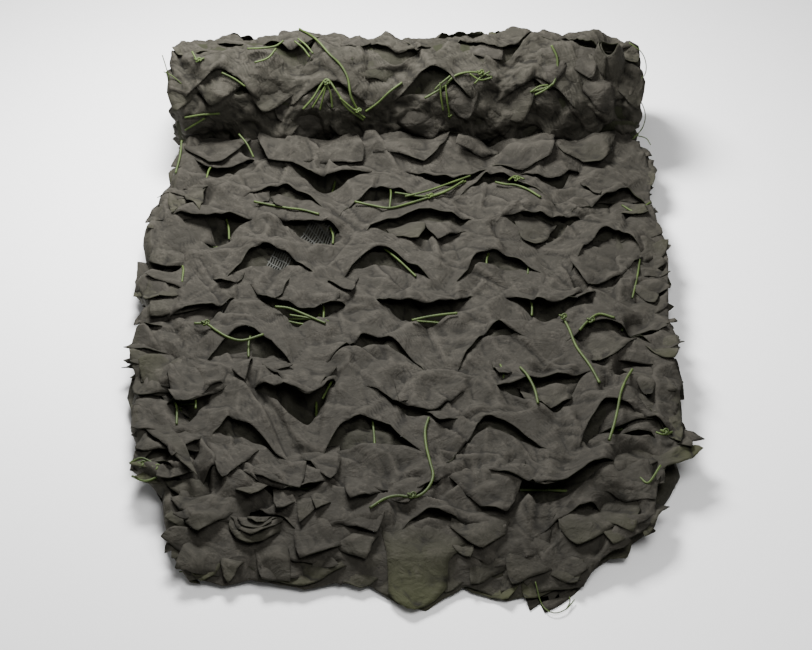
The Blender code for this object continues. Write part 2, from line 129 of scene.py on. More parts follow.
# Rows of gaps from the back to the front.  The cut's left end, the top of its arch or the
# tip of its tongue, its right end, and how far the ply below fills it, from 0 to 1.
Gap = namedtuple("Gap", "row column left_x left_y x y right_x right_y gape lift fill")
TOP_GAPS = [Gap(*row) for row in (
    ("R1", 4, -271, 286, -241, 263, -207, 284, 14, 3, 0.2),
    ("R1", 12, -147, 282, -97, 246, -49, 258, 19, 5, 0.2),
    ("R1", 20, 8, 263, 53, 232, 90, 253, 12, 4, 0.7),
    ("R1", 28, 160, 274, 192, 246, 224, 265, 14, 3, 0.7),
    ("R2", 8, -205, 193, -156, 225, -105, 158, 27, 5, 1),
    ("R2", 16, -68, 187, -30, 218, 30, 195, 25, 5, 0.7),
    ("R2", 24, 69, 195, 110, 241, 176, 193, 16, 4, 0.8),
    ("R2", 32, 248, 174, 277, 211, 306, 180, 27, 6, 0.1),
    ("R3", 4, -271, 154, -238, 143, -194, 152, 42, 5, 0.2),
    ("R3", 12, -157, 154, -109, 137, -69, 114, 38, 4, 0.4),
    ("R3", 20, -62, 143, 27, 165, 81, 141, 55, 5, 0.6),
    ("R3", 28, 117, 154, 174, 152, 219, 158, 42, 5, 0.7),
    ("R4", 8, -216, 32, -178, 85, -113, 24, 31, 6, 0.6),
    ("R4", 16, -72, 50, -27, 83, 31, 14, 29, 5, 0.5),
    ("R4", 24, 59, 30, 101, 79, 172, 34, 24, 5, 0.8),
    ("R4", 32, 192, 48, 247, 124, 296, 66, 50, 7, 0.8),
    ("R5", 4, -265, -48, -235, -35, -199, -15, 23, 4, 0.2),
    ("R5", 12, -176, 6, -123, -29, -69, -35, 31, 6, 0.2),
    ("R5", 20, -39, 6, 24, -35, 78, -4, 27, 6, 0.1),
    ("R5", 28, 120, -6, 166, -29, 209, -4, 27, 5, 0.3),
    ("R6", 8, -228, -126, -184, -74, -128, -141, 41, 6, 0.4),
    ("R6", 16, -96, -133, -42, -78, 25, -162, 15, 5, 0.95),
    ("R6", 24, 56, -119, 98, -74, 140, -115, 9, 5, 0.95),
    ("R6", 32, 192, -89, 230, -61, 263, -106, 26, 6, 0.8),
    ("R7", 4, -279, -183, -252, -206, -217, -169, 31, 6, 0),
    ("R7", 12, -163, -162, -111, -197, -74, -171, 31, 8, 0.1),
    ("R7", 20, -50, -158, 20, -221, 74, -211, 7, 5, 0.9),
    ("R7", 28, 95, -148, 161, -160, 213, -151, 49, 5, 0.7),
    ("R8", 8, -215, -255, -190, -230, -117, -305, 24, 5, 0.7),
    ("R8", 16, -107, -283, -56, -230, 23, -307, 47, 6, 0.7),
    ("R8", 24, 48, -275, 91, -231, 164, -296, 20, 5, 0.9),
    ("R8", 32, 181, -265, 223, -206, 271, -255, 58, 7, 0.5),
    ("R9", 4, -275, -298, -226, -325, -193, -324, 14, 4, 0.5),
    ("R9", 12, -186, -298, -122, -345, -73, -324, 8, 5, 0.6),
    ("R9", 20, -69, -335, -4, -345, 41, -345, 6, 5, 0.7),
    ("R9", 28, 99, -296, 150, -341, 234, -296, 14, 7, 0.2),
    ("R10", 8, -199, -376, -162, -357, -120, -382, 8, 4, 0.6),
    ("R10", 16, -84, -408, -59, -389, -29, -403, 9, 5, 0.6),
    ("R10", 24, -13, -393, 26, -374, 69, -405, 8, 5, 0.7),
    ("R10", 32, 158, -396, 197, -364, 236, -389, 8, 5, 0.7),
    ("R11", 12, -140, -424, -104, -434, -68, -428, 8, 3, 0.7),
    ("R11", 28, 62, -424, 98, -438, 134, -424, 8, 3, 0.7),
)]

# Main creases of the top layer, each a soft step along a line; height is signed.
Crease = namedtuple("Crease", "x1 y1 x2 y2 height")
CREASES = [Crease(*row) for row in (
    (-118, 307, -90, 274, 2), (-42, 325, -17, 279, 2), (-223, 232, -139, 335, 3),
    (-89, 198, -66, 165, 2), (-114, 91, -92, 110, 2), (193, 46, 206, 8, 3), (206, 8, 252, 24, 3),
    (258, 112, 251, 2, -3), (38, 133, 41, 83, 2), (-298, -76, -257, -150, 3),
    (-201, -115, -176, -166, 2), (-179, -166, -124, -295, 3), (-160, -176, -114, -272, -2),
    (-194, -231, -188, -288, 2), (-220, -268, -194, -317, 3), (-71, -335, 26, -354, 3),
    (-115, -295, -75, -324, 2), (48, -201, 72, -230, 2), (71, -219, 128, -207, -2),
    (46, -341, 66, -319, 3), (50, -285, 100, -288, 2), (108, -379, 137, -329, 3),
    (136, -341, 136, -374, 2), (156, -350, 155, -385, -2), (236, -195, 246, -155, 2),
    (203, -418, 221, -389, 3), (145, -419, 175, -376, 3), (29, -237, 60, -262, 2),
    (278, -150, 275, -253, -3), (-9, -194, -2, -162, 2), (-65, -100, -34, -115, 2),
    (-205, -315, -207, -349, 2), (-180, -293, -130, -324, 2), (-169, 156, -131, 129, 2),
    (-235, -285, -222, -325, 3), (98, -426, 69, -437, 2), (35, -431, 43, -461, 2),
    (9, -441, 12, -468, -2),
)]

# Dark hollows between the folds: middle, length, width, depth and heading in degrees.
Hollow = namedtuple("Hollow", "x y length width depth heading")
HOLLOWS = [Hollow(*row) for row in (
    (-272, 206, 52, 46, 24, 20), (-292, 78, 40, 44, 24, 0), (-284, -122, 40, 30, 22, 0),
    (-276, -186, 46, 34, 24, 10), (-258, -272, 50, 64, 26, 60), (-232, -332, 52, 44, 26, -30),
    (-168, -366, 70, 56, 20, 0), (296, 64, 30, 36, 24, 0), (290, 12, 34, 30, 22, 0),
    (272, -66, 36, 34, 22, 30), (262, -136, 40, 40, 24, 0), (246, -236, 40, 34, 22, 0),
    (252, -300, 52, 44, 26, 0), (226, -362, 44, 40, 20, -30), (-196, 300, 30, 26, 18, 0),
    (100, 306, 60, 24, 18, 0),
)]

# Leaves of cloth on and around the top layer: root and tip, each with its rise over the
# layer, width, bow, how round the tip is (0 pointed to 1 tongue-shaped) and how green; the green is
# painted light shining through the thin cloth, strongest at the tip.
Leaf = namedtuple("Leaf", "x y rise tip_x tip_y tip_rise width bow round green")
LEAVES = [Leaf(*row) for row in (
    (-195, 222, -3, -180, 175, 3, 35, 3, 0.1, 0.0), (-134, 204, -3, -162, 166, 3, 62, 3, 0.1, 0.0),
    (161, 158, -4, 158, 99, 1, 42, 3, 0.4, 0.1), (55, 160, -5, 39, 99, 1, 52, 3, 0.0, 0.0),
    (-7, 160, -5, 15, 99, 1, 46, 3, 0.1, 0.2), (251, 119, -5, 219, 9, 3, 79, 4, 0.3, 0.0),
    (-259, 4, -3, -300, -47, 2, 55, 3, 0.0, 0.1), (-264, 55, -6, -309, -16, -2, 53, 3, 0.4, 0.2),
    (-163, 35, -3, -157, -18, 6, 43, 4, 0.5, 0.0), (-110, 27, -3, -99, -30, 6, 65, 4, 0.4, 0.0),
    (-200, -99, -5, -182, -170, 4, 32, 3, 0.0, 0.0),
    (-170, -118, -5, -129, -145, 3, 26, 2, 0.0, 0.0),
    (-122, -107, -3, -110, -199, 8, 71, 4, 0.5, 0.0),
    (-226, -129, -3, -256, -208, 6, 65, 4, 0.3, 0.0),
    (-256, -154, -5, -304, -139, 0, 61, 3, 0.4, 0.3),
    (163, -150, -8, 160, -210, -2, 61, 3, 0.5, 0.1), (122, -114, -3, 106, -157, 4, 34, 3, 0.1, 0.0),
    (234, -58, -5, 219, -132, 3, 67, 4, 0.4, 0.1), (287, -68, -3, 306, -136, 0, 41, 3, 0.4, 0.4),
    (281, -154, -3, 299, -274, -2, 35, 3, 0.2, 0.4), (267, -132, -3, 273, -199, 3, 28, 2, 0.0, 0.1),
    (278, 55, -6, 294, -20, -2, 39, 3, 0.2, 0.1), (145, -290, -3, 149, -343, 6, 67, 4, 0.3, 0.0),
    (78, -290, -3, 106, -379, 5, 74, 4, 0.2, 0.0), (196, -357, -4, 180, -417, 3, 61, 4, 0.3, 0.2),
    (228, -376, -4, 216, -420, 1, 35, 3, 0.2, 0.3), (79, -364, -3, 79, -423, 5, 59, 5, 0.5, 0.1),
    (134, -413, -4, 110, -459, 3, 49, 4, 0.0, 0.1), (157, -419, -4, 177, -457, 2, 44, 4, 0.0, 0.2),
    (22, -380, 2, 5, -490, 1, 74, 4, 1.0, 0.9), (88, -429, -6, 105, -475, -1, 58, 3, 0.0, 0.9),
    (141, -439, -5, 123, -472, -1, 35, 3, 0.1, 0.7),
    (262, -349, -5, 251, -405, -6, 27, 3, 0.1, 0.4),
    (267, -289, -3, 324, -281, -4, 32, 2, 0.0, 1.0), (-60, -343, -3, -31, -403, 4, 55, 4, 0.3, 0.0),
    (-74, -363, -3, -110, -435, 4, 59, 4, 0.1, 0.0),
    (-119, -412, -4, -149, -455, 1, 62, 4, 0.0, 0.0),
    (-94, -427, -1, -70, -440, 4, 14, 2, 0.0, 0.0), (-59, -389, -3, -42, -435, 3, 44, 4, 0.1, 0.1),
    (-48, -429, -5, -46, -459, -1, 48, 4, 0.3, 0.3),
    (-210, -401, -4, -212, -454, 0, 44, 4, 0.5, 0.6),
    (-182, -408, -4, -184, -458, 1, 27, 3, 0.2, 0.2),
    (-225, -396, -4, -244, -430, -4, 18, 2, 0.4, 0.2),
    (-217, -360, -5, -254, -385, -3, 44, 3, 0.1, 0.2),
    (-213, -354, -3, -218, -405, 3, 45, 4, 0.2, 0.1),
    (-168, -315, -3, -166, -353, 3, 41, 3, 0.4, 0.1),
    (-158, -367, -4, -163, -417, 2, 55, 4, 0.5, 0.2),
    (-158, -371, -1, -161, -410, 5, 45, 4, 0.5, 0.1),
    (-157, -374, 2, -160, -402, 7, 34, 4, 0.5, 0.1),
    (-155, -376, 5, -156, -394, 9, 21, 3, 0.5, 0.2),
    (-122, -329, -3, -136, -378, 4, 29, 3, 0.0, 0.0),
    (-100, -343, -3, -112, -389, 3, 24, 3, 0.0, 0.1),
    (-83, -337, -3, -95, -376, 3, 24, 3, 0.0, 0.1),
    (-257, -312, -8, -292, -320, -12, 26, 2, 0.0, 0.9),
    (-260, -297, -2, -298, -309, -4, 21, 2, 0.0, 0.9),
    (-187, -257, -3, -197, -329, 3, 45, 3, 0.0, 0.0),
    (-148, -281, -3, -113, -349, 4, 50, 4, 0.0, 0.0),
    (-94, -264, -3, -81, -334, 4, 39, 4, 0.0, 0.0), (-9, -317, -3, 2, -365, 3, 54, 4, 0.1, 0.0),
    (44, -203, -3, 37, -246, 4, 40, 3, 0.1, 0.0), (-244, -237, -3, -253, -300, 2, 39, 3, 0.0, 0.0),
    (-263, -212, -8, -294, -237, -6, 41, 3, 0.1, 0.2),
    (-270, 254, -7, -291, 156, -4, 42, 3, 0.2, 0.3), (-275, 231, -3, -256, 153, 2, 23, 2, 0.0, 0.3),
    (230, 266, -3, 244, 197, 4, 33, 3, 0.0, 0.0), (269, 186, -4, 301, 156, 1, 34, 3, 0.2, 0.3),
    (202, 9, -3, 209, -20, 5, 44, 3, 0.3, 0.0), (-213, 55, -3, -219, 9, 3, 38, 3, 0.1, 0.0),
    (-84, 43, -3, -64, 0, 3, 35, 3, 0.3, 0.0), (16, -154, -3, -7, -210, 3, 42, 3, 0.0, 0.0),
    (-37, -317, -3, -59, -363, 4, 46, 4, 0.1, 0.0), (52, -386, -3, 67, -433, 2, 32, 3, 0.0, 0.2),
    (-300, 36, -6, -326, 6, -14, 34, 4, 0.1, 0.4),
    (-284, -142, -4, -318, -113, -3, 34, 3, 0.0, 0.2),
    (-278, -218, -8, -309, -196, -10, 30, 3, 0.3, 0.2),
    (-284, -220, 0, -223, -332, 3, 22, 5, 0.0, 0.1),
    (-280, 172, -3, -320, 126, -6, 36, 3, 0.0, 0.2),
    (-290, -60, -8, -317, -68, -14, 30, 3, 0.1, 0.3),
    (-111, -410, -6, -108, -460, 0, 100, 4, 0.4, 0.4),
    (216, -352, -3, 238, -403, -2, 46, 4, 0.1, 0.3), (298, 280, 0, 314, 232, -6, 34, 4, 0.3, 0.3),
    (296, 78, -1, 322, 104, -3, 24, 3, 0.0, 0.3), (-248, 318, 2, -238, 268, 4, 70, 4, 0.1, 0.0),
    (-150, 316, 2, -176, 272, 5, 80, 4, 0.0, 0.0), (-104, 318, 1, -56, 276, 5, 62, 5, 0.2, 0.0),
    (10, 316, 2, 24, 270, 3, 96, 4, 0.1, 0.0), (104, 318, 1, 64, 286, 5, 42, 4, 0.0, 0.0),
    (142, 316, 2, 186, 272, 4, 92, 5, 0.2, 0.0), (232, 318, 2, 248, 268, 4, 72, 4, 0.1, 0.1),
)]

# The same for leaves that stand out of the roll, at an angle around it in degrees from
# its front upwards, with the tip at another.
RollLeaf = namedtuple("RollLeaf", "x angle tip_x tip_angle rise width bow round green")
ROLL_LEAVES = [RollLeaf(*row) for row in (
    (-236, 150, -226, 92, -3, 80, 3, 0.2, 0.0), (-158, 98, -161, 134, 4, 20, 1, 0.9, 0.0),
    (-140, 135, -128, 84, -3, 56, 3, 0.1, 0.0), (-74, 140, -62, 84, -3, 84, 3, 0.4, 0.0),
    (4, 136, 14, 76, -3, 44, 3, 0.0, 0.0), (70, 134, 124, 66, -3, 70, 4, 0.1, 0.0),
    (118, 100, 115, 138, 5, 30, 1, 0.0, 0.8), (178, 150, 198, 92, -3, 78, 4, 0.2, 0.0),
    (176, 84, 186, 36, 4, 64, 4, 0.1, 0.0), (214, 92, 240, 44, 4, 50, 4, 0.1, 0.0),
    (236, 70, 262, 12, 5, 50, 4, 0.5, 0.0), (-232, 80, -252, 22, 5, 76, 5, 0.5, 0.1),
    (-170, 52, -184, 14, 4, 64, 4, 0.4, 0.1), (-86, 40, -94, 16, 3, 28, 3, 0.9, 0.0),
    (60, 48, 80, 8, 4, 50, 4, 0.3, 0.0), (126, 42, 150, 4, 5, 60, 4, 0.1, 0.1),
    (14, 30, 34, -10, 4, 74, 4, 0.5, 0.0), (-122, 24, -142, -14, 4, 80, 4, 0.4, 0.0),
    (206, 22, 232, -16, 4, 60, 4, 0.3, 0.1), (276, 104, 300, 66, -3, 44, 3, 0.3, 0.2),
    (282, 60, 300, 16, 3, 40, 3, 0.3, 0.1), (-270, 112, -296, 74, -3, 50, 3, 0.4, 0.2),
    (-278, 60, -300, 14, 3, 46, 3, 0.2, 0.2),
)]

# Routes of the ties that lie free on the cloth, in millimetres, from end to end.
TIE_ROUTES = {
    "tie_01": [(-140, 428, 155), (-118, 395, 160), (-99, 368, 153), (-84, 356, 143),
               (-75, 342, 132), (-71, 327, 115), (-62, 321, 96)],
    "tie_02": [(-133, 320, 99), (-120, 328, 111), (-109, 340, 124), (-101, 344, 129),
               (-89, 330, 119), (-76, 321, 101), (-55, 318, 84)],
    "tie_03": [(-5, 337, 129), (-21, 329, 120), (-37, 323, 106), (-52, 321, 95)],
    "tie_04": [(24, 323, 114), (39, 328, 121), (52, 336, 127), (63, 345, 134),
               (80, 349, 137), (97, 348, 136), (111, 342, 134)],
    "tie_05": [(188, 376, 161), (195, 364, 150), (195, 353, 137), (190, 341, 125),
               (178, 337, 120), (161, 335, 116)],
    "tie_06": [(-64, 178, 53), (-42, 171, 52), (-20, 167, 51), (5, 179, 50), (30, 191, 51),
               (52, 202, 53), (73, 221, 55)],
    "tie_07": [(113, 217, 56), (126, 212, 56), (139, 210, 56), (154, 200, 56), (169, 186, 54)],
    "tie_08": [(183, -58, 53), (189, -80, 53), (196, -111, 51), (209, -143, 50),
               (218, -176, 51)],
    "tie_09": [(201, -84, 54), (211, -69, 55), (225, -56, 56), (243, -63, 56)],
    "tie_10": [(-246, -71, 54), (-232, -72, 54), (-220, -84, 54), (-205, -96, 53),
               (-188, -99, 51), (-165, -88, 51)],
    "tie_11": [(25, -240, 54), (21, -261, 54), (22, -285, 52), (26, -308, 49), (29, -329, 47),
               (22, -348, 45), (9, -357, 43), (-9, -356, 44), (-23, -361, 44),
               (-38, -375, 44)],
    "tie_12": [(130, -146, 49), (137, -162, 51), (144, -186, 51), (147, -212, 51)],
    "tie_13": [(256, -157, 55), (248, -175, 56), (240, -199, 57), (234, -229, 58),
               (228, -255, 57), (221, -279, 55)],
    "tie_14": [(-154, -34, 50), (-138, -37, 50), (-120, -47, 49), (-94, -67, 51)],
    "tie_15": [(7, -60, 50), (25, -55, 51), (42, -52, 52), (60, -49, 52)],
    "tie_16": [(-190, 178, 53), (-170, 171, 53), (-147, 164, 53), (-128, 157, 55),
               (-108, 148, 55)],
}

# Strands of the carrier net that show in the gaps and where it breaks through the roll.
STRANDS = [
    [(-205, 371, 159), (-186, 371, 160), (-169, 374, 161), (-159, 384, 163)],
    [(-195, 353, 149), (-178, 358, 153), (-168, 371, 159)],
    [(-144, 383, 163), (-133, 371, 160), (-124, 360, 153)],
    [(-140, 388, 164), (-129, 376, 161), (-120, 364, 156)],
    [(-237, 343, 140), (-221, 338, 134), (-207, 332, 126)],
    [(-85, 325, 113), (-70, 320, 101), (-53, 318, 87)],
    [(-286, 319, 87), (-264, 318, 92), (-240, 318, 94)],
    [(-287, 320, 67), (-273, 319, 77), (-260, 319, 86)],
    [(44, 334, 131), (45, 325, 116), (48, 319, 98)],
    [(51, 332, 128), (53, 323, 111), (57, 318, 87)],
    [(37, 329, 123), (44, 333, 129), (57, 340, 137)],
    [(160, 328, 120), (172, 331, 127), (183, 332, 128)],
    [(166, 326, 117), (179, 329, 123), (188, 333, 129)],
    [(-111, 320, 98), (-107, 325, 113), (-102, 334, 129)],
    [(-121, 320, 101), (-111, 326, 116), (-102, 334, 129)],
    [(-102, 334, 129), (-97, 327, 118), (-95, 320, 101)],
    [(-276, 367, 157), (-269, 357, 151), (-260, 359, 152)],
    [(82, 342, 139), (95, 337, 133), (111, 339, 135)],
    [(88, 334, 129), (98, 340, 137), (108, 344, 141)],
    [(272, 346, 30), (278, 329, 41), (282, 322, 52)],
    [(-290, 300, 64), (-291, 280, 54), (-295, 252, 46)],
    [(-216, 306, 70), (-205, 292, 64), (-196, 276, 54)],
    [(-255, 238, 44), (-253, 260, 45), (-248, 278, 42)],
    [(-20, 223, 42), (-19, 198, 50), (-21, 174, 42)],
    [(-1, 192, 51), (30, 205, 52), (82, 237, 52)],
    [(-14, 202, 50), (30, 195, 50), (76, 223, 53)],
    [(130, 221, 56), (139, 232, 55), (150, 225, 55)],
    [(139, 159, 44), (137, 144, 43), (140, 125, 42)],
    [(-259, 136, 40), (-258, 151, 41), (-260, 167, 42)],
    [(-218, 115, 40), (-220, 137, 42), (-224, 155, 42)],
    [(-90, 106, 40), (-90, 122, 41), (-94, 138, 41)],
    [(-269, 26, 41), (-269, 48, 42), (-271, 60, 40)],
    [(98, 49, 41), (98, 68, 43), (101, 84, 41)],
    [(147, 42, 41), (148, 59, 43), (146, 71, 41)],
    [(-181, -117, 41), (-182, -95, 43), (-181, -80, 42)],
    [(148, -41, 42), (149, -24, 43), (147, -7, 42)],
    [(110, -164, 40), (111, -146, 42), (108, -130, 40)],
    [(-254, -235, 40), (-256, -209, 42), (-262, -190, 40)],
    [(-235, -208, 40), (-236, -195, 41), (-240, -181, 40)],
    [(-28, 95, 42), (-9, 67, 44), (12, 31, 46)],
    [(284, 67, 44), (278, 32, 45), (269, -8, 43)],
    [(271, 180, 46), (286, 164, 48), (307, 186, 46)],
    [(-137, -37, 40), (-115, -43, 40), (-95, -52, 41)],
    [(-142, -48, 40), (-120, -56, 41), (-95, -56, 41)],
    [(-99, -9, 38), (-97, -31, 42), (-97, -56, 42)],
    [(7, -50, 41), (28, -52, 41), (49, -56, 41)],
    [(197, -72, 44), (216, -54, 45), (237, -45, 44)],
    [(255, -36, 42), (256, -51, 44), (252, -70, 42)],
    [(-84, -160, 41), (-88, -175, 42), (-94, -191, 40)],
    [(-37, -233, 44), (-35, -257, 43), (-34, -279, 43)],
    [(252, -323, 40), (260, -333, 42), (275, -308, 44)],
    [(-164, -401, 26), (-152, -400, 28), (-144, -391, 30)],
    [(274, -260, 50), (283, -265, 51), (292, -259, 50)],
    [(-300, -300, 40), (-286, -296, 44), (-266, -309, 42)],
    [(-296, -316, 36), (-280, -326, 38), (-262, -318, 40)],
]

# Thin threads that stand out around the net.
THREADS = [
    [(-314, 360, 156), (-310, 355, 143), (-306, 350, 125), (-305, 345, 104), (-298, 340, 99)],
    [(-313, 355, 134), (-302, 350, 131), (-290, 345, 122)],
    [(288, 374, 166), (303, 365, 158), (310, 360, 143), (308, 355, 128), (292, 350, 120)],
    [(288, 352, 116), (303, 340, 101), (311, 335, 82), (308, 330, 64), (296, 325, 50)],
    [(300, 326, 55), (312, 320, 55), (318, 310, 51)],
    [(134, -455, 14), (139, -474, 4), (145, -486, 4), (154, -490, 4), (165, -484, 4),
     (174, -471, 4)],
    [(165, -484, 4), (169, -475, 4), (169, -469, 6)],
    [(-296, -78, 40), (-312, -92, 40), (-318, -88, 38)],
    [(-216, -430, 12), (-228, -434, 9), (-237, -434, 8)],
    [(36, -450, 8), (38, -460, 5), (43, -463, 5), (47, -456, 7), (44, -448, 9)],
    [(255, -312, 34), (259, -324, 30), (265, -325, 30), (269, -316, 34)],
]

# Patches of dark ladder mesh between the plies: middle, size and heading in degrees.
LadderPatch = namedtuple("LadderPatch", "x y length width heading")
LADDERS = [LadderPatch(*row) for row in (
    (-106, 140, 62, 34, 54), (-255, -32, 46, 66, 78), (-152, 74, 40, 24, 60),
)]

# Knots in the twine.
KNOTS = [
    (-102, 333, 131), (-62, 319, 98), (96, 343, 141), (30, 191, 53), (140, 222, 58),
    (-233, -72, 56), (6, -357, 46), (183, -60, 56), (283, -262, 53), (-270, -312, 45),
    (-268, 355, 152), (57, 322, 90), (-95, -57, 44), (215, -68, 57), (-286, -305, 44),
]


# ---- Settings in the sidebar -------------------------------------------------------
def linear(hex_colour):
    """An sRGB hex colour as linear red, green and blue."""
    channels = [int(hex_colour[i:i + 2], 16) / 255 for i in (0, 2, 4)]
    return tuple(c / 12.92 if c <= 0.04045 else ((c + 0.055) / 1.055) ** 2.4 for c in channels)


def colour_setting(name, description, hex_colour):
    return bpy.props.FloatVectorProperty(
        name=name, description=description, default=linear(hex_colour),
        subtype="COLOR", size=3, min=0.0, max=1.0)


class NetSizes(bpy.types.PropertyGroup):
    """Sizes that a user would change."""
    cloth: bpy.props.FloatProperty(
        name="Cloth thickness", description="One ply of garnish cloth", default=CLOTH,
        min=0.0003, max=0.002, unit="LENGTH")
    cell: bpy.props.FloatProperty(
        name="Cell", description="Size of the cloth's mesh cells", default=CELL,
        min=0.003, max=0.02, unit="LENGTH")
    crumple: bpy.props.FloatProperty(
        name="Crumple", description="How rumpled the cloth is", default=1.0, min=0.0,
        max=2.0, subtype="FACTOR")


class NetColours(bpy.types.PropertyGroup):
    """Colours that a user would change."""
    front: colour_setting("Cloth face", "Grey-brown face of the garnish cloth", "2c2a25")
    # Also the base of the painted highlight on ridges.
    worn: colour_setting("Cloth highlights", "Paler patches of the face", "3f3c36")
    back: colour_setting("Cloth back", "Olive back of the garnish cloth", "23241a")
    # Painted light: the olive that thin cloth shows where light shines through it.
    green: colour_setting("Thin cloth", "Cloth that lets green light through", "383a27")
    twine: colour_setting("Twine", "Lime green twine", "3d4c20")
    net: colour_setting("Ladder mesh", "Dark knitted mesh", "23241f")
    floor: colour_setting("Floor", "Pale studio floor", "f4f4f4")


def sizes():
    return bpy.context.scene.net_sizes


def colours():
    return bpy.context.scene.net_colours


# ---- Materials ---------------------------------------------------------------------
def add_node(tree, kind, inputs=None, **settings):
    """Add a node; an input's value is either a number or the socket that feeds it."""
    node = tree.nodes.new(kind)
    for name, value in settings.items():
        setattr(node, name, value)
    for name, value in (inputs or {}).items():
        if isinstance(value, bpy.types.NodeSocket):
            tree.links.new(value, node.inputs[name])
        else:
            node.inputs[name].default_value = value
    return node


def new_material(name, roughness):
    made = bpy.data.materials.get(name)
    if made:
        return made, None, None
    made = bpy.data.materials.new(name)
    made.use_nodes = True
    shader = made.node_tree.nodes["Principled BSDF"]
    shader.inputs["Roughness"].default_value = roughness
    return made, made.node_tree, shader


def mixed(tree, share, first, second):
    """Mix two colours; returns the result's socket."""
    node = add_node(tree, "ShaderNodeMix", {"Factor": share}, data_type="RGBA")
    for socket, value in ((node.inputs[6], first), (node.inputs[7], second)):
        if isinstance(value, bpy.types.NodeSocket):
            tree.links.new(value, socket)
        else:
            socket.default_value = (*value, 1.0)
    return node.outputs[2]


def spread_factor(tree, source, low, high):
    """Stretch a noise's middle range over 0 to 1."""
    node = add_node(tree, "ShaderNodeMapRange",
                    {"Value": source, "From Min": low, "From Max": high})
    return node.outputs["Result"]


def small_creases(tree, place, size):
    """Height of small flat facets that meet in creases, a facet being size across."""
    squares = []
    for feature in ("F2", "F1"):
        near = add_node(tree, "ShaderNodeTexVoronoi", {"Vector": place, "Scale": 1 / size},
                        feature=feature).outputs["Distance"]
        squares.append(add_node(tree, "ShaderNodeMath", {0: near, 1: near},
                                operation="MULTIPLY").outputs[0])
    return add_node(tree, "ShaderNodeMath", {0: squares[0], 1: squares[1]},
                    operation="SUBTRACT").outputs[0]


def object_place(tree):
    return add_node(tree, "ShaderNodeTexCoord").outputs["Object"]


def mottle(tree, place, size, detail, roughness=0.5, distortion=0.0):
    """A noise with blotches about size across; returns its strength's socket."""
    inputs = {"Vector": place, "Scale": 1 / size, "Detail": detail, "Roughness": roughness,
              "Distortion": distortion}
    return add_node(tree, "ShaderNodeTexNoise", inputs).outputs["Fac"]


def bumped(tree, height, strength, distance, normal=None):
    """A normal bent by a height, on top of another one; returns its socket."""
    inputs = {"Height": height, "Strength": strength, "Distance": distance}
    if normal is not None:
        inputs["Normal"] = normal
    return add_node(tree, "ShaderNodeBump", inputs).outputs["Normal"]


def shaded(colour, share):
    """A colour made darker by a share under 1, or paler by one over 1."""
    return tuple(share * c for c in colour)


def woven_polyester(name, face, worn, pucker_size, pucker_depth):
    """Warp-knitted polyester, dyed and heat-set: matt, faintly napped, with paler and darker patches;
    ridges get a painted highlight and troughs a painted shade.

    The real thread spacing of 0.5 mm is too fine to show, so the nap is drawn at 2.5 mm.
    """
    made, tree, shader = new_material(name, 0.86)
    if tree is None:
        return made
    place = object_place(tree)
    patches = mottle(tree, place, 0.055, 5.0, 0.6, 0.4)
    rub_marks_and_ridge_shading = mottle(tree, place, 0.012, 4.0, 0.65)
    nap = mottle(tree, place, 0.0025, 2.0)
    wrinkles = mottle(tree, place, 0.030, 6.0, 0.55, 2.2)
    puckers = small_creases(tree, place, pucker_size)
    green = add_node(tree, "ShaderNodeAttribute", attribute_name="green").outputs["Fac"]
    ridge_highlight_and_shade = add_node(tree, "ShaderNodeAttribute", attribute_name="ridge_highlight_and_shade").outputs["Fac"]
    shade = mixed(tree, spread_factor(tree, patches, 0.35, 0.68), face, worn)
    shade = mixed(tree, spread_factor(tree, rub_marks_and_ridge_shading, 0.62, 0.38), shade, shaded(face, 0.75))
    shade = mixed(tree, spread_factor(tree, nap, 0.75, 0.35), shade, shaded(face, 0.86))
    # Painted light shining through thin cloth: paler olive where the green attribute is set.
    shade = mixed(tree, green, shade, tuple(colours().green))
    # Painted highlight on ridges and painted shade in troughs, from how far each point stands out.
    shade = mixed(tree, spread_factor(tree, ridge_highlight_and_shade, 0.2, 2.5), shade, shaded(worn, 1.1))
    shade = mixed(tree, spread_factor(tree, ridge_highlight_and_shade, -0.25, -1.0), shade, shaded(face, 0.45))
    tree.links.new(shade, shader.inputs["Base Color"])
    normal = bumped(tree, wrinkles, 1.0, 0.0028)
    normal = bumped(tree, puckers, 0.8, pucker_depth, normal)
    normal = bumped(tree, nap, 0.5, 0.0004, normal)
    tree.links.new(normal, shader.inputs["Normal"])
    shader.inputs["Specular IOR Level"].default_value = 0.12
    return made


# Finishes of the cloth's face: brightness, and size and depth of the small creases.
Finish = namedtuple("Finish", "name brightness pucker_size pucker_depth")
LAID = Finish("knitted_polyester_face", 1.0, 0.011, 0.0006)
CRUSHED = Finish("knitted_polyester_crushed", 1.0, 0.018, 0.0020)      # by rolling it up
# Painted shade: the plies folded away inside get a face darkened to 0.62.
PAINTED_SHADE_PLIES = Finish("knitted_polyester_painted_shade", 0.62, 0.011, 0.0006)     # folded away inside


def cloth_materials(finish):
    """Materials of the two sides of the garnish cloth."""
    face = woven_polyester(finish.name, shaded(colours().front, finish.brightness),
                           shaded(colours().worn, finish.brightness),
                           finish.pucker_size, finish.pucker_depth)
    back = woven_polyester("knitted_polyester_back", tuple(colours().back),
                           shaded(colours().back, 1.15), LAID.pucker_size, LAID.pucker_depth)
    return [face, back]


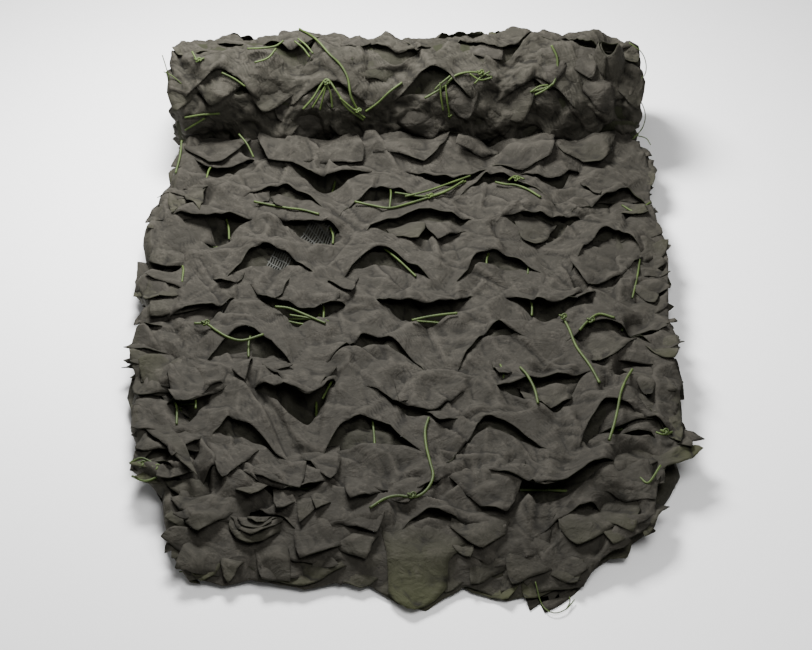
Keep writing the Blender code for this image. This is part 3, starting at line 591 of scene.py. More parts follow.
def laid_twine():
    """Three-strand polyethylene twine, laid and dyed lime green: slightly waxy."""
    made, tree, shader = new_material("laid_polyethylene_twine", 0.6)
    if tree is None:
        return [made]
    shader.inputs["Specular IOR Level"].default_value = 0.25
    place = object_place(tree)
    worn = mottle(tree, place, 0.020, 3.0)
    fibres = mottle(tree, place, 0.0012, 2.0)
    base = tuple(colours().twine)
    shade = mixed(tree, spread_factor(tree, worn, 0.35, 0.65), shaded(base, 0.55), base)
    tree.links.new(shade, shader.inputs["Base Color"])
    tree.links.new(bumped(tree, fibres, 0.5, 0.0003), shader.inputs["Normal"])
    return [made]


def knitted_mesh():
    """Black raschel-knitted polyester mesh: soft and matt, with a dusty bloom."""
    made, tree, shader = new_material("raschel_knitted_mesh", 0.8)
    if tree is None:
        return [made]
    dust = mottle(tree, object_place(tree), 0.006, 3.0)
    base = tuple(colours().net)
    shade = mixed(tree, spread_factor(tree, dust, 0.4, 0.7), base, shaded(base, 1.4))
    tree.links.new(shade, shader.inputs["Base Color"])
    return [made]


def studio_paper():
    """White background paper: matt, with very faint fibre mottling."""
    made, tree, shader = new_material("matt_background_paper", 0.95)
    if tree is None:
        return [made]
    fibres = mottle(tree, object_place(tree), 0.025, 2.0)
    base = tuple(colours().floor)
    shade = mixed(tree, fibres, base, shaded(base, 0.98))
    tree.links.new(shade, shader.inputs["Base Color"])
    return [made]


# ---- Meshes as points and faces ----------------------------------------------------
class MeshMaker:
    """Gathers the points, faces and green tint, painted light through thin cloth, of one piece."""

    def __init__(self):
        self.points = []
        self.green = []
        self.faces = []

    def add_points(self, points, green=0.0):
        """Add rows of points; returns their numbers."""
        start = len(self.points)
        self.points.extend(tuple(p) for p in points)
        tints = np.broadcast_to(green, len(points))
        self.green.extend(float(t) for t in tints)
        return np.arange(start, start + len(points))

    def add_grid(self, numbers):
        """Add the faces of a grid of point numbers, which faces up where rows come forward."""
        for behind, ahead in zip(numbers, numbers[1:]):
            for i in range(len(behind) - 1):
                self.faces.append((behind[i], ahead[i], ahead[i + 1], behind[i + 1]))

    def make(self, name, materials):
        mesh = bpy.data.meshes.new(name)
        mesh.from_pydata(self.points, [], [tuple(int(i) for i in f) for f in self.faces])
        tint = mesh.attributes.new("green", "FLOAT", "POINT")
        tint.data.foreach_set("value", self.green)
        for finish in materials:
            mesh.materials.append(finish)
        mesh.validate()
        mesh.shade_smooth()
        # Painted highlight on ridges and painted shade in troughs, stored per point.
        rub_marks_and_ridge_shading = mesh.attributes.new("ridge_highlight_and_shade", "FLOAT", "POINT")
        rub_marks_and_ridge_shading.data.foreach_set("value", ridge_shading_height(mesh))
        made = bpy.data.objects.new(name, mesh)
        bpy.context.scene.collection.objects.link(made)
        return made


RIDGE_SHADING_BEND = 0.16             # a point that stands out by this share of an edge gets the full painted highlight


def ridge_shading_height(mesh):
    """How far each point stands out from its neighbours, 1 on a ridge and -1 in a trough, for the
    painted highlight and shade.
    """
    count = len(mesh.vertices)
    places = np.empty(3 * count)
    mesh.vertices.foreach_get("co", places)
    places = places.reshape(-1, 3)
    normals = np.empty(3 * count)
    mesh.vertex_normals.foreach_get("vector", normals)
    ends = np.empty(2 * len(mesh.edges), int)
    mesh.edges.foreach_get("vertices", ends)
    ends = ends.reshape(-1, 2)
    run = places[ends[:, 1]] - places[ends[:, 0]]
    pull = np.zeros((count, 3))
    np.add.at(pull, ends[:, 0], run)
    np.add.at(pull, ends[:, 1], -run)
    length = np.zeros(count)
    reach = np.linalg.norm(run, axis=1)
    np.add.at(length, ends[:, 0], reach)
    np.add.at(length, ends[:, 1], reach)
    height = -np.sum(pull * normals.reshape(-1, 3), axis=1)
    return np.clip(height / (RIDGE_SHADING_BEND * np.maximum(length, 1e-6)), -1, 1)


def thicken(piece, thickness):
    """Give a sheet its thickness, with the cloth's back as the second material."""
    wall = piece.modifiers.new("Cloth thickness", "SOLIDIFY")
    wall.thickness = thickness
    wall.offset = -1.0
    wall.material_offset = 1
    wall.material_offset_rim = 1
    return piece


def ride_and_slot(piece, slot, *nodes):
    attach(piece, "root")
    if nodes:
        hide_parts(*nodes)


def add_cloth(maker, name, finish, *nodes):
    """Make a gathered sheet into a piece of garnish cloth that stands for some nodes."""
    piece = thicken(maker.make(name, cloth_materials(finish)), sizes().cloth)
    ride_and_slot(piece, "garnish_cloth", *nodes)
    return piece


# ---- Twine -------------------------------------------------------------------------
CURVE_SAMPLES = 24


def smooth_curve(route):
    """Points of a smooth curve through a route's own points, in metres."""
    knots = [Vector(point) * MM for point in route]
    knots = [2 * knots[0] - knots[1]] + knots + [2 * knots[-1] - knots[-2]]
    points = []
    for before, start, end, after in zip(knots, knots[1:], knots[2:], knots[3:]):
        for step in range(CURVE_SAMPLES):
            t = step / CURVE_SAMPLES
            pull = (end - before) * t + (2 * before - 5 * start + 4 * end - after) * t ** 2
            pull += (3 * start - before - 3 * end + after) * t ** 3
            points.append(start + pull / 2)
    points.append(knots[-2])
    return points


def even_spacing(points, step):
    """The same line, with its points a step apart."""
    travelled = [0.0]
    for start, end in zip(points, points[1:]):
        travelled.append(travelled[-1] + (end - start).length)
    count = max(2, round(travelled[-1] / step)) + 1
    places = np.linspace(0.0, travelled[-1], count)
    columns = [np.interp(places, travelled, [p[k] for p in points]) for k in range(3)]
    return [Vector(place) for place in zip(*columns)], travelled[-1]


TWINE_SIDES = 9
TWINE_STRANDS = 3
TWINE_LAY = 11 * MM          # one whole turn of the three strands
TWINE_STEP = 1.8 * MM
STRAND_RELIEF = 0.14         # depth between the strands, as a share of the radius


def twine_rings(path, radius):
    """Rings of points around a path, with three strands that wind around it."""
    side = (path[1] - path[0]).orthogonal().normalized()
    travelled = 0.0
    for i, centre in enumerate(path):
        along = (path[min(i + 1, len(path) - 1)] - path[max(i - 1, 0)]).normalized()
        side = (side - along * side.dot(along)).normalized()
        across = along.cross(side)
        if i:
            travelled += (centre - path[i - 1]).length
        winding = 2 * math.pi * travelled / TWINE_LAY
        ring = []
        for k in range(TWINE_SIDES):
            angle = 2 * math.pi * k / TWINE_SIDES
            bulge = 1 + STRAND_RELIEF * math.cos(TWINE_STRANDS * (angle - winding))
            ring.append(centre + radius * bulge * (side * math.cos(angle) + across * math.sin(angle)))
        yield ring


def add_twine(maker, path, radius):
    """Add a closed twisted tube along a path."""
    rings = [maker.add_points(ring) for ring in twine_rings(path, radius)]
    for near, far in zip(rings, rings[1:]):
        for k in range(TWINE_SIDES):
            after = (k + 1) % TWINE_SIDES
            maker.faces.append((near[k], near[after], far[after], far[k]))
    maker.faces.append(tuple(rings[0][::-1]))
    maker.faces.append(tuple(rings[-1]))


def tie_paths():
    return {name: even_spacing(smooth_curve(route), TWINE_STEP)
            for name, route in TIE_ROUTES.items()}


ROLL_STRANDS = 20            # the strands listed first, which lie on the roll


def tie_tree():
    """A search tree of the centre lines of every tie and of the strands on the roll."""
    places = [p for path, _ in tie_paths().values() for p in path]
    for route in STRANDS[:ROLL_STRANDS]:
        places.extend(even_spacing(smooth_curve(route), 2 * TWINE_STEP)[0])
    tree = kdtree.KDTree(len(places))
    for i, place in enumerate(places):
        tree.insert(place, i)
    tree.balance()
    return tree


# ---- Unevenness of the cloth -------------------------------------------------------
def read_table(table, at, key, value):
    """Read one column of a table against another, in metres."""
    keys = [getattr(row, key) * MM for row in table]
    values = [getattr(row, value) * MM for row in table]
    return np.interp(at, keys, values)


def crumple(x, y, size):
    """The unevenness of crumpled layers, as three crossing swells."""
    broad = np.sin(19.0 * x + 11.0 * y + 0.7) * np.cos(15.0 * y - 6.0 * x)
    cross = np.sin(31.0 * x - 24.0 * y + 2.1)
    fine = np.cos(47.0 * y + 22.0 * x)
    return size * (0.5 * broad + 0.3 * cross + 0.2 * fine)


BACK_RISE = 14 * MM          # the loose end comes up against the roll's front
RISE_START = 0.268


def top_height(x, y):
    rest = read_table(TOP_HEIGHTS, y, "y", "z")
    share = np.clip((y - RISE_START) / (BACK_Y - RISE_START), 0, 1)
    rise = BACK_RISE * share ** 2 * (3 - 2 * share)
    return rest + rise + crumple(x, y, TOP_CRUMPLE) * rest / STACK_HEIGHT


# Crushed cloth has flat facets that meet in sharp straight creases: their size and slope.
Fold = namedtuple("Fold", "size slope")
BROAD_FOLDS = (Fold(0.078, 0.40), Fold(0.046, -0.30))
FINE_FOLDS = (Fold(0.030, 0.18), Fold(0.017, -0.09))


BEND_SEED = 7                # Blender seeds noise_vector from the clock unless this is set
BEND_SIZE = 0.08             # size of the swirls that bend the creases
BEND_REACH = 0.012


def fold_height(x, y, folds, seed):
    place = Vector((x, y, 0.31 * seed))
    bent = place + BEND_REACH * noise.noise_vector(place / BEND_SIZE)
    height = 0.0
    for number, fold in enumerate(folds):
        near = noise.voronoi(bent / fold.size + Vector((3.7 * number, 1.9, seed)))[0]
        height += fold.slope * fold.size * (near[1] ** 2 - near[0] ** 2 - 0.45) / 2
    return height


def folded(x, y, folds, seed):
    """Heights of crushed cloth over arrays of places."""
    noise.seed_set(BEND_SEED)
    heights = [fold_height(a, b, folds, seed) for a, b in zip(x.flat, y.flat)]
    return sizes().crumple * np.array(heights).reshape(x.shape)


def unevenness(*place):
    """Smooth noise over arrays of places, given by three coordinates."""
    a, b, c = np.broadcast_arrays(*place)
    values = [noise.noise(Vector(at)) for at in zip(a.flat, b.flat, c.flat)]
    return np.array(values).reshape(a.shape)


def stack_folds(x, y):
    """Folds that all the layers of the loose end share, as they lie on one another."""
    return folded(x, y, BROAD_FOLDS, 1.0)


CREASE_WIDTH = 2.0 * MM
CREASE_REACH = 14 * MM
CREASE_DEPTH = 2.0           # height of a crease against the table's
EXTRA_CREASES = 150
ROLL_CREASES = 170


def random_creases(seed, count, low, high):
    """Small creases scattered between two corners, in millimetres."""
    rng = random.Random(seed)
    creases = []
    for _ in range(count):
        x = rng.uniform(low[0], high[0])
        y = rng.uniform(low[1], high[1])
        heading = rng.gauss(-1.2, 0.8)
        length = rng.uniform(18, 60)
        height = rng.choice((-1, 1)) * rng.uniform(0.7, 2.2)
        creases.append(Crease(x, y, x + length * math.cos(heading),
                              y + length * math.sin(heading), height))
    return creases


def all_creases():
    """The creases of the table and smaller ones between them."""
    return CREASES + random_creases(11, EXTRA_CREASES, (-300, -440), (290, 310))


def crease_steps(x, y, creases):
    """Creases as soft steps that die away on both sides and past their ends."""
    total = np.zeros(x.shape)
    for crease in creases:
        start = np.array((crease.x1, crease.y1)) * MM
        run = np.array((crease.x2, crease.y2)) * MM - start
        length = np.hypot(*run)
        along = ((x - start[0]) * run[0] + (y - start[1]) * run[1]) / length ** 2
        aside = ((x - start[0]) * run[1] - (y - start[1]) * run[0]) / length
        past = np.maximum(np.abs(along - 0.5) - 0.5, 0) * length
        fade = np.exp(-(past / CREASE_REACH) ** 2 - np.abs(aside) / CREASE_REACH)
        total += CREASE_DEPTH * crease.height * MM * np.tanh(aside / CREASE_WIDTH) * fade
    return total


# ---- The lattice of cuts -----------------------------------------------------------
Cut = namedtuple("Cut", "xs lip_y far_y lift tuck inside")
FINE_COLUMNS = np.arange(COLUMNS * CELLS_PER_COLUMN + 1) / CELLS_PER_COLUMN
ACROSS = FINE_COLUMNS / COLUMNS      # from 0 at the left edge to 1 at the right


def row_turns(gaps):
    """Crests and troughs of a row of gaps, half a pitch apart, as {column: places}."""
    turns = {gap.column: [(gap.x, gap.y)] for gap in gaps}
    for gap in gaps:
        for side, x, y in ((-1, gap.left_x, gap.left_y), (1, gap.right_x, gap.right_y)):
            column = gap.column + side * HALF_PITCH
            place = (gap.x + TURN_X_REACH * (x - gap.x), gap.y + TURN_Y_REACH * (y - gap.y))
            turns.setdefault(column, []).append(place)
    turns.setdefault(0, [(0, gaps[0].y)])
    turns.setdefault(COLUMNS, [(0, gaps[-1].y)])
    return turns


def wavy_line(knots, xs, ys):
    """A line that eases up and down between its turns, at every fine column."""
    here = np.clip(np.searchsorted(knots, FINE_COLUMNS, side="right") - 1, 0, len(knots) - 2)
    knots = np.array(knots, float)
    share = (FINE_COLUMNS - knots[here]) / (knots[here + 1] - knots[here])
    eased = (1 - np.cos(math.pi * share)) / 2
    x = xs[here] + share * (xs[here + 1] - xs[here])
    return x, ys[here] + eased * (ys[here + 1] - ys[here])


def kinks(xs, ys, seed):
    """Small jags of a cut edge."""
    return EDGE_KINK * unevenness(xs / KINK_LENGTH, ys / KINK_DRIFT, seed)


def even_gap(column, gape, lift):
    """A gap that is placed by its column alone and half filled from below."""
    return Gap("", column, 0, 0, 0, 0, 0, 0, gape, lift, 0.5)


def pitch_wave(phase):
    return np.cos(2 * math.pi * (FINE_COLUMNS + phase) / PITCH_COLUMNS)


def open_cut(xs, ys, gaps):
    """A line across the cloth with its gaps opened and their edges lifted or tucked."""
    gape = np.zeros(xs.shape)
    shapes = np.zeros(xs.shape)
    lift = np.zeros(xs.shape)
    tuck = np.zeros(xs.shape)
    inside = np.zeros(xs.shape, bool)
    for gap in gaps:
        across = (FINE_COLUMNS - gap.column) / GAP_REACH
        within = np.abs(across) < 1 - 1e-6
        shape = np.where(within, np.cos(math.pi / 2 * across), 0.0)
        gape += np.where(within, gap.gape * MM * shape ** GAP_SHARPNESS, 0.0)
        gape -= np.where(within, EDGE_OVERLAP * 4 * shape * (1 - shape), 0.0)
        raised = (LIFT_SHARE - gap.fill) * gap.lift * MM
        sunk = (OPEN_TUCK - FILLED_TUCK * gap.fill) * MM
        lift += np.where(within, raised * shape ** 0.6, 0.0)
        tuck += np.where(within, sunk * shape ** 0.5, 0.0)
        shapes += np.where(within, shape ** 0.5, 0.0)
        inside |= within
    lip_y = ys + shapes * kinks(xs, ys, 1.0)
    far_y = ys - gape + shapes * kinks(xs, ys, 5.0)
    return Cut(xs, lip_y, far_y, lift, tuck, inside)


def strip_of_cloth(behind, ahead, cell):
    """Places, height offsets and nearness to the cuts of the strip between two cuts."""
    back_y = behind.far_y
    width = back_y - ahead.lip_y
    count = max(3, round(float(np.mean(width)) / cell))
    share = np.linspace(0, 1, count + 1)[:, None]
    x = behind.xs + share * (ahead.xs - behind.xs)
    y = back_y + share * (ahead.lip_y - back_y)
    drop = behind.tuck * np.exp(-(share * width / TUCK_REACH) ** 2)
    rise = ahead.lift * np.exp(-((1 - share) * width / LIFT_REACH) ** 2)
    curl_front = ahead.inside * np.exp(-((1 - share) * width / CURL_REACH) ** 2)
    curl_back = behind.inside * np.exp(-(share * width / CURL_REACH) ** 2)
    return x, y, rise - drop, curl_front - curl_back


def curl_height(x, y, seed):
    """Cut edges that curl up and down along their length."""
    return EDGE_CURL * unevenness(x / CURL_LENGTH, y / CURL_DRIFT, seed)


def add_slit_sheet(maker, cuts, shaped, cell):
    """Add a cloth with gaps; returns the numbers of the points along its two sides.

    shaped(x, y, offset, curl) gives the points and the green tint of a strip.
    """
    numbers = None
    last_cut = None
    sides = []
    for behind, ahead in zip(cuts, cuts[1:]):
        x, y, offset, curl = strip_of_cloth(behind, ahead, cell)
        points, green = shaped(x, y, offset, curl)
        rows = []
        if numbers is None:
            rows.append(maker.add_points(points[0], green[0]))
        else:
            first = numbers.copy()
            inside = np.flatnonzero(last_cut.inside)
            first[inside] = maker.add_points(points[0][inside], green[0][inside])
            rows.append(first)
        for row, tint in zip(points[1:], green[1:]):
            rows.append(maker.add_points(row, tint))
        maker.add_grid(rows)
        sides.extend((row[0], row[-1]) for row in rows[1 if sides else 0:])
        numbers = rows[-1]
        last_cut = ahead
    return zip(*sides)


TIE_REACH = 24 * MM          # how far from a tie the cloth is drawn to it
TIE_CLEARANCE = 0.3 * MM
MAX_PULL = 7 * MM


def meet_ties(points, outward, tree):
    """Bring cloth up to the ties that lie on it, and press it down where it is higher."""
    shape = points.shape
    flat_points = points.reshape(-1, 3)
    flat_outward = outward.reshape(-1, 3)
    for i, (place, up) in enumerate(zip(flat_points, flat_outward)):
        near, _, away = tree.find(place)
        if away > TIE_REACH:
            continue
        offset = np.array(near) - place
        height = float(offset @ up)
        aside = np.linalg.norm(offset - height * up)
        lack = min(height - TWINE / 2 - TIE_CLEARANCE, MAX_PULL)
        weight = (1 - (aside / TIE_REACH) ** 2) ** 2
        if lack < 0:
            weight = max(0.0, 1 - (aside / (0.6 * TIE_REACH)) ** 3)
        flat_points[i] = place + up * lack * weight
    return flat_points.reshape(shape)


# ---- The top layer -----------------------------------------------------------------
def edge_x(table, y):
    return read_table(table, y, "y", "x")


def row_cut(name):
    gaps = [gap for gap in TOP_GAPS if gap.row == name]
    turns = row_turns(gaps)
    knots = sorted(turns)
    xs = np.array([MM * sum(x for x, y in turns[k]) / len(turns[k]) for k in knots])
    ys = np.array([MM * sum(y for x, y in turns[k]) / len(turns[k]) for k in knots])
    xs[0] = edge_x(LEFT_EDGE, ys[0]) + TURN_ROOM
    xs[-1] = edge_x(RIGHT_EDGE, ys[-1])
    return open_cut(*wavy_line(knots, xs, ys), gaps)


def plain_cut(xs, ys):
    return open_cut(xs, ys, [])


def top_cuts():
    left = edge_x(LEFT_EDGE, BACK_Y) + TURN_ROOM
    right = edge_x(RIGHT_EDGE, BACK_Y)
    cuts = [plain_cut(left + ACROSS * (right - left), np.full(ACROSS.shape, BACK_Y))]
    for name in dict.fromkeys(gap.row for gap in TOP_GAPS):
        cuts.append(row_cut(name))
    left = FRONT_EDGE[0].x * MM
    right = FRONT_EDGE[-1].x * MM
    xs = left + ACROSS * (right - left)
    cuts.append(plain_cut(xs, read_table(FRONT_EDGE, xs, "x", "y")))
    return cuts


def fit_side_edges(x, y):
    """Move the outer columns so that the side edges keep their jagged outline."""
    left_shift = edge_x(LEFT_EDGE, y[:, :1]) + TURN_ROOM - x[:, :1]
    right_shift = edge_x(RIGHT_EDGE, y[:, -1:]) - x[:, -1:]
    near_left = np.clip(1 - FINE_COLUMNS / 4, 0, 1)
    near_right = np.clip(1 - (COLUMNS - FINE_COLUMNS) / 4, 0, 1)
    return x + left_shift * near_left + right_shift * near_right


def upward(shape):
    return np.broadcast_to(np.array((0.0, 0.0, 1.0)), (*shape, 3))


def calmness(y):
    """How much of its unevenness the stack keeps: less where it runs out to the floor."""
    return np.clip(read_table(TOP_HEIGHTS, y, "y", "z") / STACK_HEIGHT, 0.3, 1.0)


def hollow_depth(x, y):
    depth = np.zeros(x.shape)
    for hollow in HOLLOWS:
        turn = math.radians(hollow.heading)
        aside = x - hollow.x * MM, y - hollow.y * MM
        across = (aside[0] * math.cos(turn) + aside[1] * math.sin(turn)) / (hollow.length * MM / 2)
        along = (aside[1] * math.cos(turn) - aside[0] * math.sin(turn)) / (hollow.width * MM / 2)
        depth = np.maximum(depth, hollow.depth * MM * np.exp(-(across ** 2 + along ** 2) ** 2))
    return depth


def top_surface(x, y, creases):
    """The folded and creased surface that the top plies follow."""
    uneven = stack_folds(x, y) + crease_steps(x, y, creases) - hollow_depth(x, y)
    return top_height(x, y) + calmness(y) * uneven


def shape_top(x, y, offset, curl, tree, creases):
    x = fit_side_edges(x, y)
    rest = read_table(TOP_HEIGHTS, y, "y", "z")
    z = top_surface(x, y, creases)
    z += calmness(y) * (offset + folded(x, y, FINE_FOLDS, 1.0) + curl * curl_height(x, y, 4.0))
    x = x + 1.5 * MM * np.sin(61 * y + 23 * x) * np.cos(47 * x)
    points = np.stack([x, y, np.maximum(z, LOWEST)], axis=-1)
    points = meet_ties(points, upward(x.shape), tree)
    # Painted light shining through the thin cloth, greener where it hangs within 10 mm of the floor.
    green = np.clip(0.5 - rest / 0.020, 0, 0.5)
    return points, green


TURN_STEPS = 8


def add_turn(maker, numbers, side, low_share):
    """The round turn of the cloth from one layer's side edge down to the layer below."""
    edge = np.array([maker.points[i] for i in numbers])
    half_drop = 0.5 * (1 - low_share) * edge[:, 2]
    rows = [np.array(numbers)]
    for step in range(1, TURN_STEPS + 1):
        angle = math.pi * step / TURN_STEPS
        row = edge.copy()
        row[:, 0] += side * (TURN_ROOM * math.sin(angle) + 1.5 * MM * np.sin(90 * edge[:, 1] + step))
        row[:, 2] -= half_drop * (1 - math.cos(angle))
        rows.append(maker.add_points(row, 0.1))
    maker.add_grid(rows[::-1] if side > 0 else rows)


LEAF_ROWS = 13
LEAF_COLUMNS = 8
LEAF_FOLDS = (Fold(0.052, 0.34), Fold(0.024, -0.16))
ROOT_DIP = 6 * MM            # how far leaf roots go down into the layer
LEAF_LIFT = 8 * MM           # how far leaf tips stand up over what the tables give
LEAF_CORNERS = (0, 0.22, 0.45, 0.70, 0.88, 1)    # where a leaf's straight edges meet
POINTED = (1.35, 1.20, 1.0, 0.62, 0.30, 0.02)
TONGUE = (1.35, 1.15, 1.0, 0.90, 0.66, 0.10)


def leaf_half_widths(s, roundness, seed):
    """Half the width of a leaf on each side along its length, as shares of its width."""
    rng = random.Random(int(10 * seed))
    widths = []
    for _ in range(2):
        corners = [0.5 * ((1 - roundness) * pointed + roundness * tongue) * rng.uniform(0.8, 1.15)
                   for pointed, tongue in zip(POINTED, TONGUE)]
        widths.append(np.interp(s, LEAF_CORNERS, corners))
    return widths


def leaf_sheet(leaf, seed):
    """One leaf of cloth, flat: its places in the plane and their rise, in metres."""
    s, v = np.meshgrid(np.linspace(0, 1, LEAF_ROWS + 1), np.linspace(-1, 1, LEAF_COLUMNS + 1),
                       indexing="ij")
    root = np.array((leaf.x, leaf.y)) * MM
    run = np.array((leaf.tip_x, leaf.tip_y)) * MM - root
    aside = np.array((-run[1], run[0])) / np.hypot(*run)
    left, right = leaf_half_widths(s, leaf.round, seed)
    reach = leaf.width * MM * np.where(v < 0, left, right) * v
    x = root[0] + run[0] * s + aside[0] * reach
    y = root[1] + run[1] * s + aside[1] * reach
    crush = folded(x, y, LEAF_FOLDS, seed) * np.minimum(1, 2 * s)
    bow = 0.4 * leaf.bow * MM * (np.sin(math.pi * s) + 0.3 * (1 - v * v))
    rise = (leaf.rise + s * (leaf.tip_rise - leaf.rise)) * MM + LEAF_LIFT * s ** 2 + bow + crush
    rise = rise - ROOT_DIP * (1 - s) ** 6
    return x, y, rise, leaf.green * s ** 1.3


def add_leaf(maker, points, green):
    points[..., 2] = np.maximum(points[..., 2], LOWEST)
    maker.add_grid([maker.add_points(row, tint) for row, tint in zip(points, green)])


def add_top_leaf(maker, leaf, seed):
    x, y, rise, green = leaf_sheet(leaf, seed)
    z = top_height(x, y) + calmness(y) * stack_folds(x, y) + rise
    add_leaf(maker, np.stack([x, y, z], axis=-1), green)


RAGGED_STEP = 28             # millimetres between the ragged leaves along an edge


def ragged_leaf(x, y, outward, rng, level):
    """A small leaf of a lower ply that sticks out at the edge of the stack."""
    heading = outward + rng.uniform(-0.7, 0.7)
    length = rng.uniform(50, 85)
    run = (length * math.cos(heading), length * math.sin(heading))
    beyond = rng.uniform(-10, 11) / length
    tip = (x + run[0] * beyond, y + run[1] * beyond)
    drop = (level - 1) * 1000 * float(read_table(TOP_HEIGHTS, y * MM, "y", "z"))
    return Leaf(tip[0] - run[0], tip[1] - run[1], drop, tip[0], tip[1],
                drop + rng.uniform(-6, 3), rng.uniform(24, 66), rng.uniform(1, 5),
                rng.uniform(0, 0.35), rng.uniform(0.0, 0.6) * (1 - level))


def ragged_leaves():
    """Leaves of the folded plies all around the loose end."""
    rng = random.Random(5)
    leaves = []
    for table, outward in ((LEFT_EDGE, math.pi + 0.35), (RIGHT_EDGE, -0.35)):
        for y in range(-440, 300, RAGGED_STEP):
            x = 1000 * float(edge_x(table, y * MM))
            for level in (0.9, 0.65, 0.4):
                leaves.append(ragged_leaf(x, y + rng.uniform(-6, 6), outward, rng, level))
    for x in range(-210, 200, RAGGED_STEP):
        y = 1000 * float(read_table(FRONT_EDGE, x * MM, "x", "y"))
        leaves.append(ragged_leaf(x, y + 6, -math.pi / 2, rng, 0.7))
    return leaves


# ---- Lower layers ------------------------------------------------------------------
def middle_height(x, y):
    rest = read_table(TOP_HEIGHTS, y, "y", "z")
    return 0.40 * rest + crumple(x + 0.3, y, 2 * MM) * rest / STACK_HEIGHT


def bottom_height(x, y):
    return 2.5 * MM + crumple(x, y + 0.5, 1.2 * MM)


# Hidden layers with rows of even pitch: distance between the rows, how far they are
# shifted in columns, size of the gaps in millimetres, depth of the rows' waves, the
# layer's height, its share of the folds that all the layers have, and a seed.
Layer = namedtuple("Layer", "name spacing phase gape wave height folding seed")
LOWER_LAYERS = (
    Layer("garnish_middle", 0.084, 1, 26, 0.022, middle_height, 0.5, 5.0),
    Layer("garnish_bottom", 0.090, 5, 18, 0.020, bottom_height, 0.1, 7.0),
)
LOWER_RIGHT = 20 * MM        # how far the right edge lies inside that of the top layer


def regular_cuts(layer):
    """Cuts of a hidden layer: rows of even pitch with small irregularities."""
    cuts = []
    count = round((BACK_Y - STACK_FRONT_Y) / layer.spacing)
    for number in range(count + 1):
        y = BACK_Y - (BACK_Y - STACK_FRONT_Y) * number / count
        left = edge_x(LEFT_EDGE, y) + TURN_ROOM
        right = edge_x(RIGHT_EDGE, y) - LOWER_RIGHT
        xs = left + ACROSS * (right - left)
        if number in (0, count):
            cuts.append(plain_cut(xs, np.full(xs.shape, y)))
            continue
        sway = 6 * MM * np.sin(21 * xs + layer.seed + 1.7 * number)
        ys = y + layer.wave * pitch_wave(layer.phase) + sway
        first = (HALF_PITCH if number % 2 else PITCH_COLUMNS) - layer.phase
        gaps = []
        for column in range(first % PITCH_COLUMNS or PITCH_COLUMNS, COLUMNS - 2, PITCH_COLUMNS):
            size = layer.gape * (1 + 0.5 * math.sin(3.3 * column + 2.1 * number + layer.seed))
            gaps.append(even_gap(column, size, 4))
        cuts.append(open_cut(xs, ys, gaps))
    return cuts


def add_lower_layer(maker, layer):
    def shaped(x, y, offset, curl):
        rest = calmness(y)
        z = layer.height(x, y) + 0.7 * offset + rest * layer.folding * stack_folds(x, y)
        z += rest * folded(x, y, FINE_FOLDS, layer.seed) + curl * curl_height(x, y, layer.seed)
        points = np.stack([x, y, np.maximum(z, LOWEST)], axis=-1)
        return points, np.full(x.shape, 0.15)
    return add_slit_sheet(maker, regular_cuts(layer), shaped, HIDDEN_CELLS * sizes().cell)


PLY_DEPTH = 6.0 * MM         # of the tucked ply under the top one
PIT_DEPTH = 20 * MM          # further down in a gap that isn't filled
PIT_LENGTH = 42 * MM
PIT_WIDTH = 26 * MM
TUCKED_FOLDS = (Fold(0.040, 0.30), Fold(0.019, 0.16))
TUCKED_LEFT = 20 * MM        # how far its side edges lie inside those of the top layer
TUCKED_RIGHT = 14 * MM


def pits(x, y):
    """How far the tucked ply sinks below the open gaps."""
    depth = np.zeros(x.shape)
    for gap in TOP_GAPS:
        middle = (gap.left_y + 2 * gap.y + gap.right_y) / 4 - gap.gape / 2
        away = ((x - gap.x * MM) / PIT_LENGTH) ** 2 + ((y - middle * MM) / PIT_WIDTH) ** 2
        depth = np.maximum(depth, (1 - gap.fill) * PIT_DEPTH * np.exp(-away ** 2))
    return depth


def tucked_height(x, y, creases):
    sunk = PLY_DEPTH + pits(x, y) + np.abs(folded(x, y, TUCKED_FOLDS, 2.0))
    return np.maximum(top_surface(x, y, creases) - calmness(y) * sunk, 3 * MM)


def add_tucked_layer(maker, creases):
    """The ply just under the top one, which fills most of its gaps."""
    y, share = np.meshgrid(np.arange(BACK_Y, STACK_FRONT_Y, -sizes().cell),
                           np.linspace(0, 1, round(0.6 / sizes().cell)), indexing="ij")
    left = edge_x(LEFT_EDGE, y) + TUCKED_LEFT
    x = left + share * (edge_x(RIGHT_EDGE, y) - TUCKED_RIGHT - left)
    points = np.stack([x, y, tucked_height(x, y, creases)], axis=-1)
    maker.add_grid([maker.add_points(row, 0.12) for row in points])


LADDER_LINE = 3.2 * MM       # from one line of chain stitches to the next
LADDER_RUNG = 8 * MM
LADDER_THREAD = 1.3 * MM
LADDER_RISE = 2.5 * MM       # over the tucked ply


def add_ladder(maker, patch, creases):
    """A patch of ladder mesh: lines of chain stitches with rungs across them."""
    turn = math.radians(patch.heading)
    along = np.array((math.cos(turn), math.sin(turn)))
    aside = np.array((-along[1], along[0]))
    middle = np.array((patch.x, patch.y)) * MM
    for way, across, reach, span, step in (
            (along, aside, patch.length, patch.width, LADDER_LINE),
            (aside, along, patch.width, patch.length, LADDER_RUNG)):
        for place in np.arange(-span * MM / 2, span * MM / 2, step):
            run = np.linspace(-0.5, 0.5, 9)[:, None] * reach * MM
            line = middle + way * run + across * (place + 1.5 * MM * np.sin(90 * run + 60 * place))
            rows = []
            for edge in (-LADDER_THREAD / 2, LADDER_THREAD / 2):
                x, y = (line + across * edge).T
                z = tucked_height(x, y, creases) + LADDER_RISE
                rows.append(maker.add_points(np.stack([x, y, z], axis=-1), 0.0))
            maker.add_grid(rows)


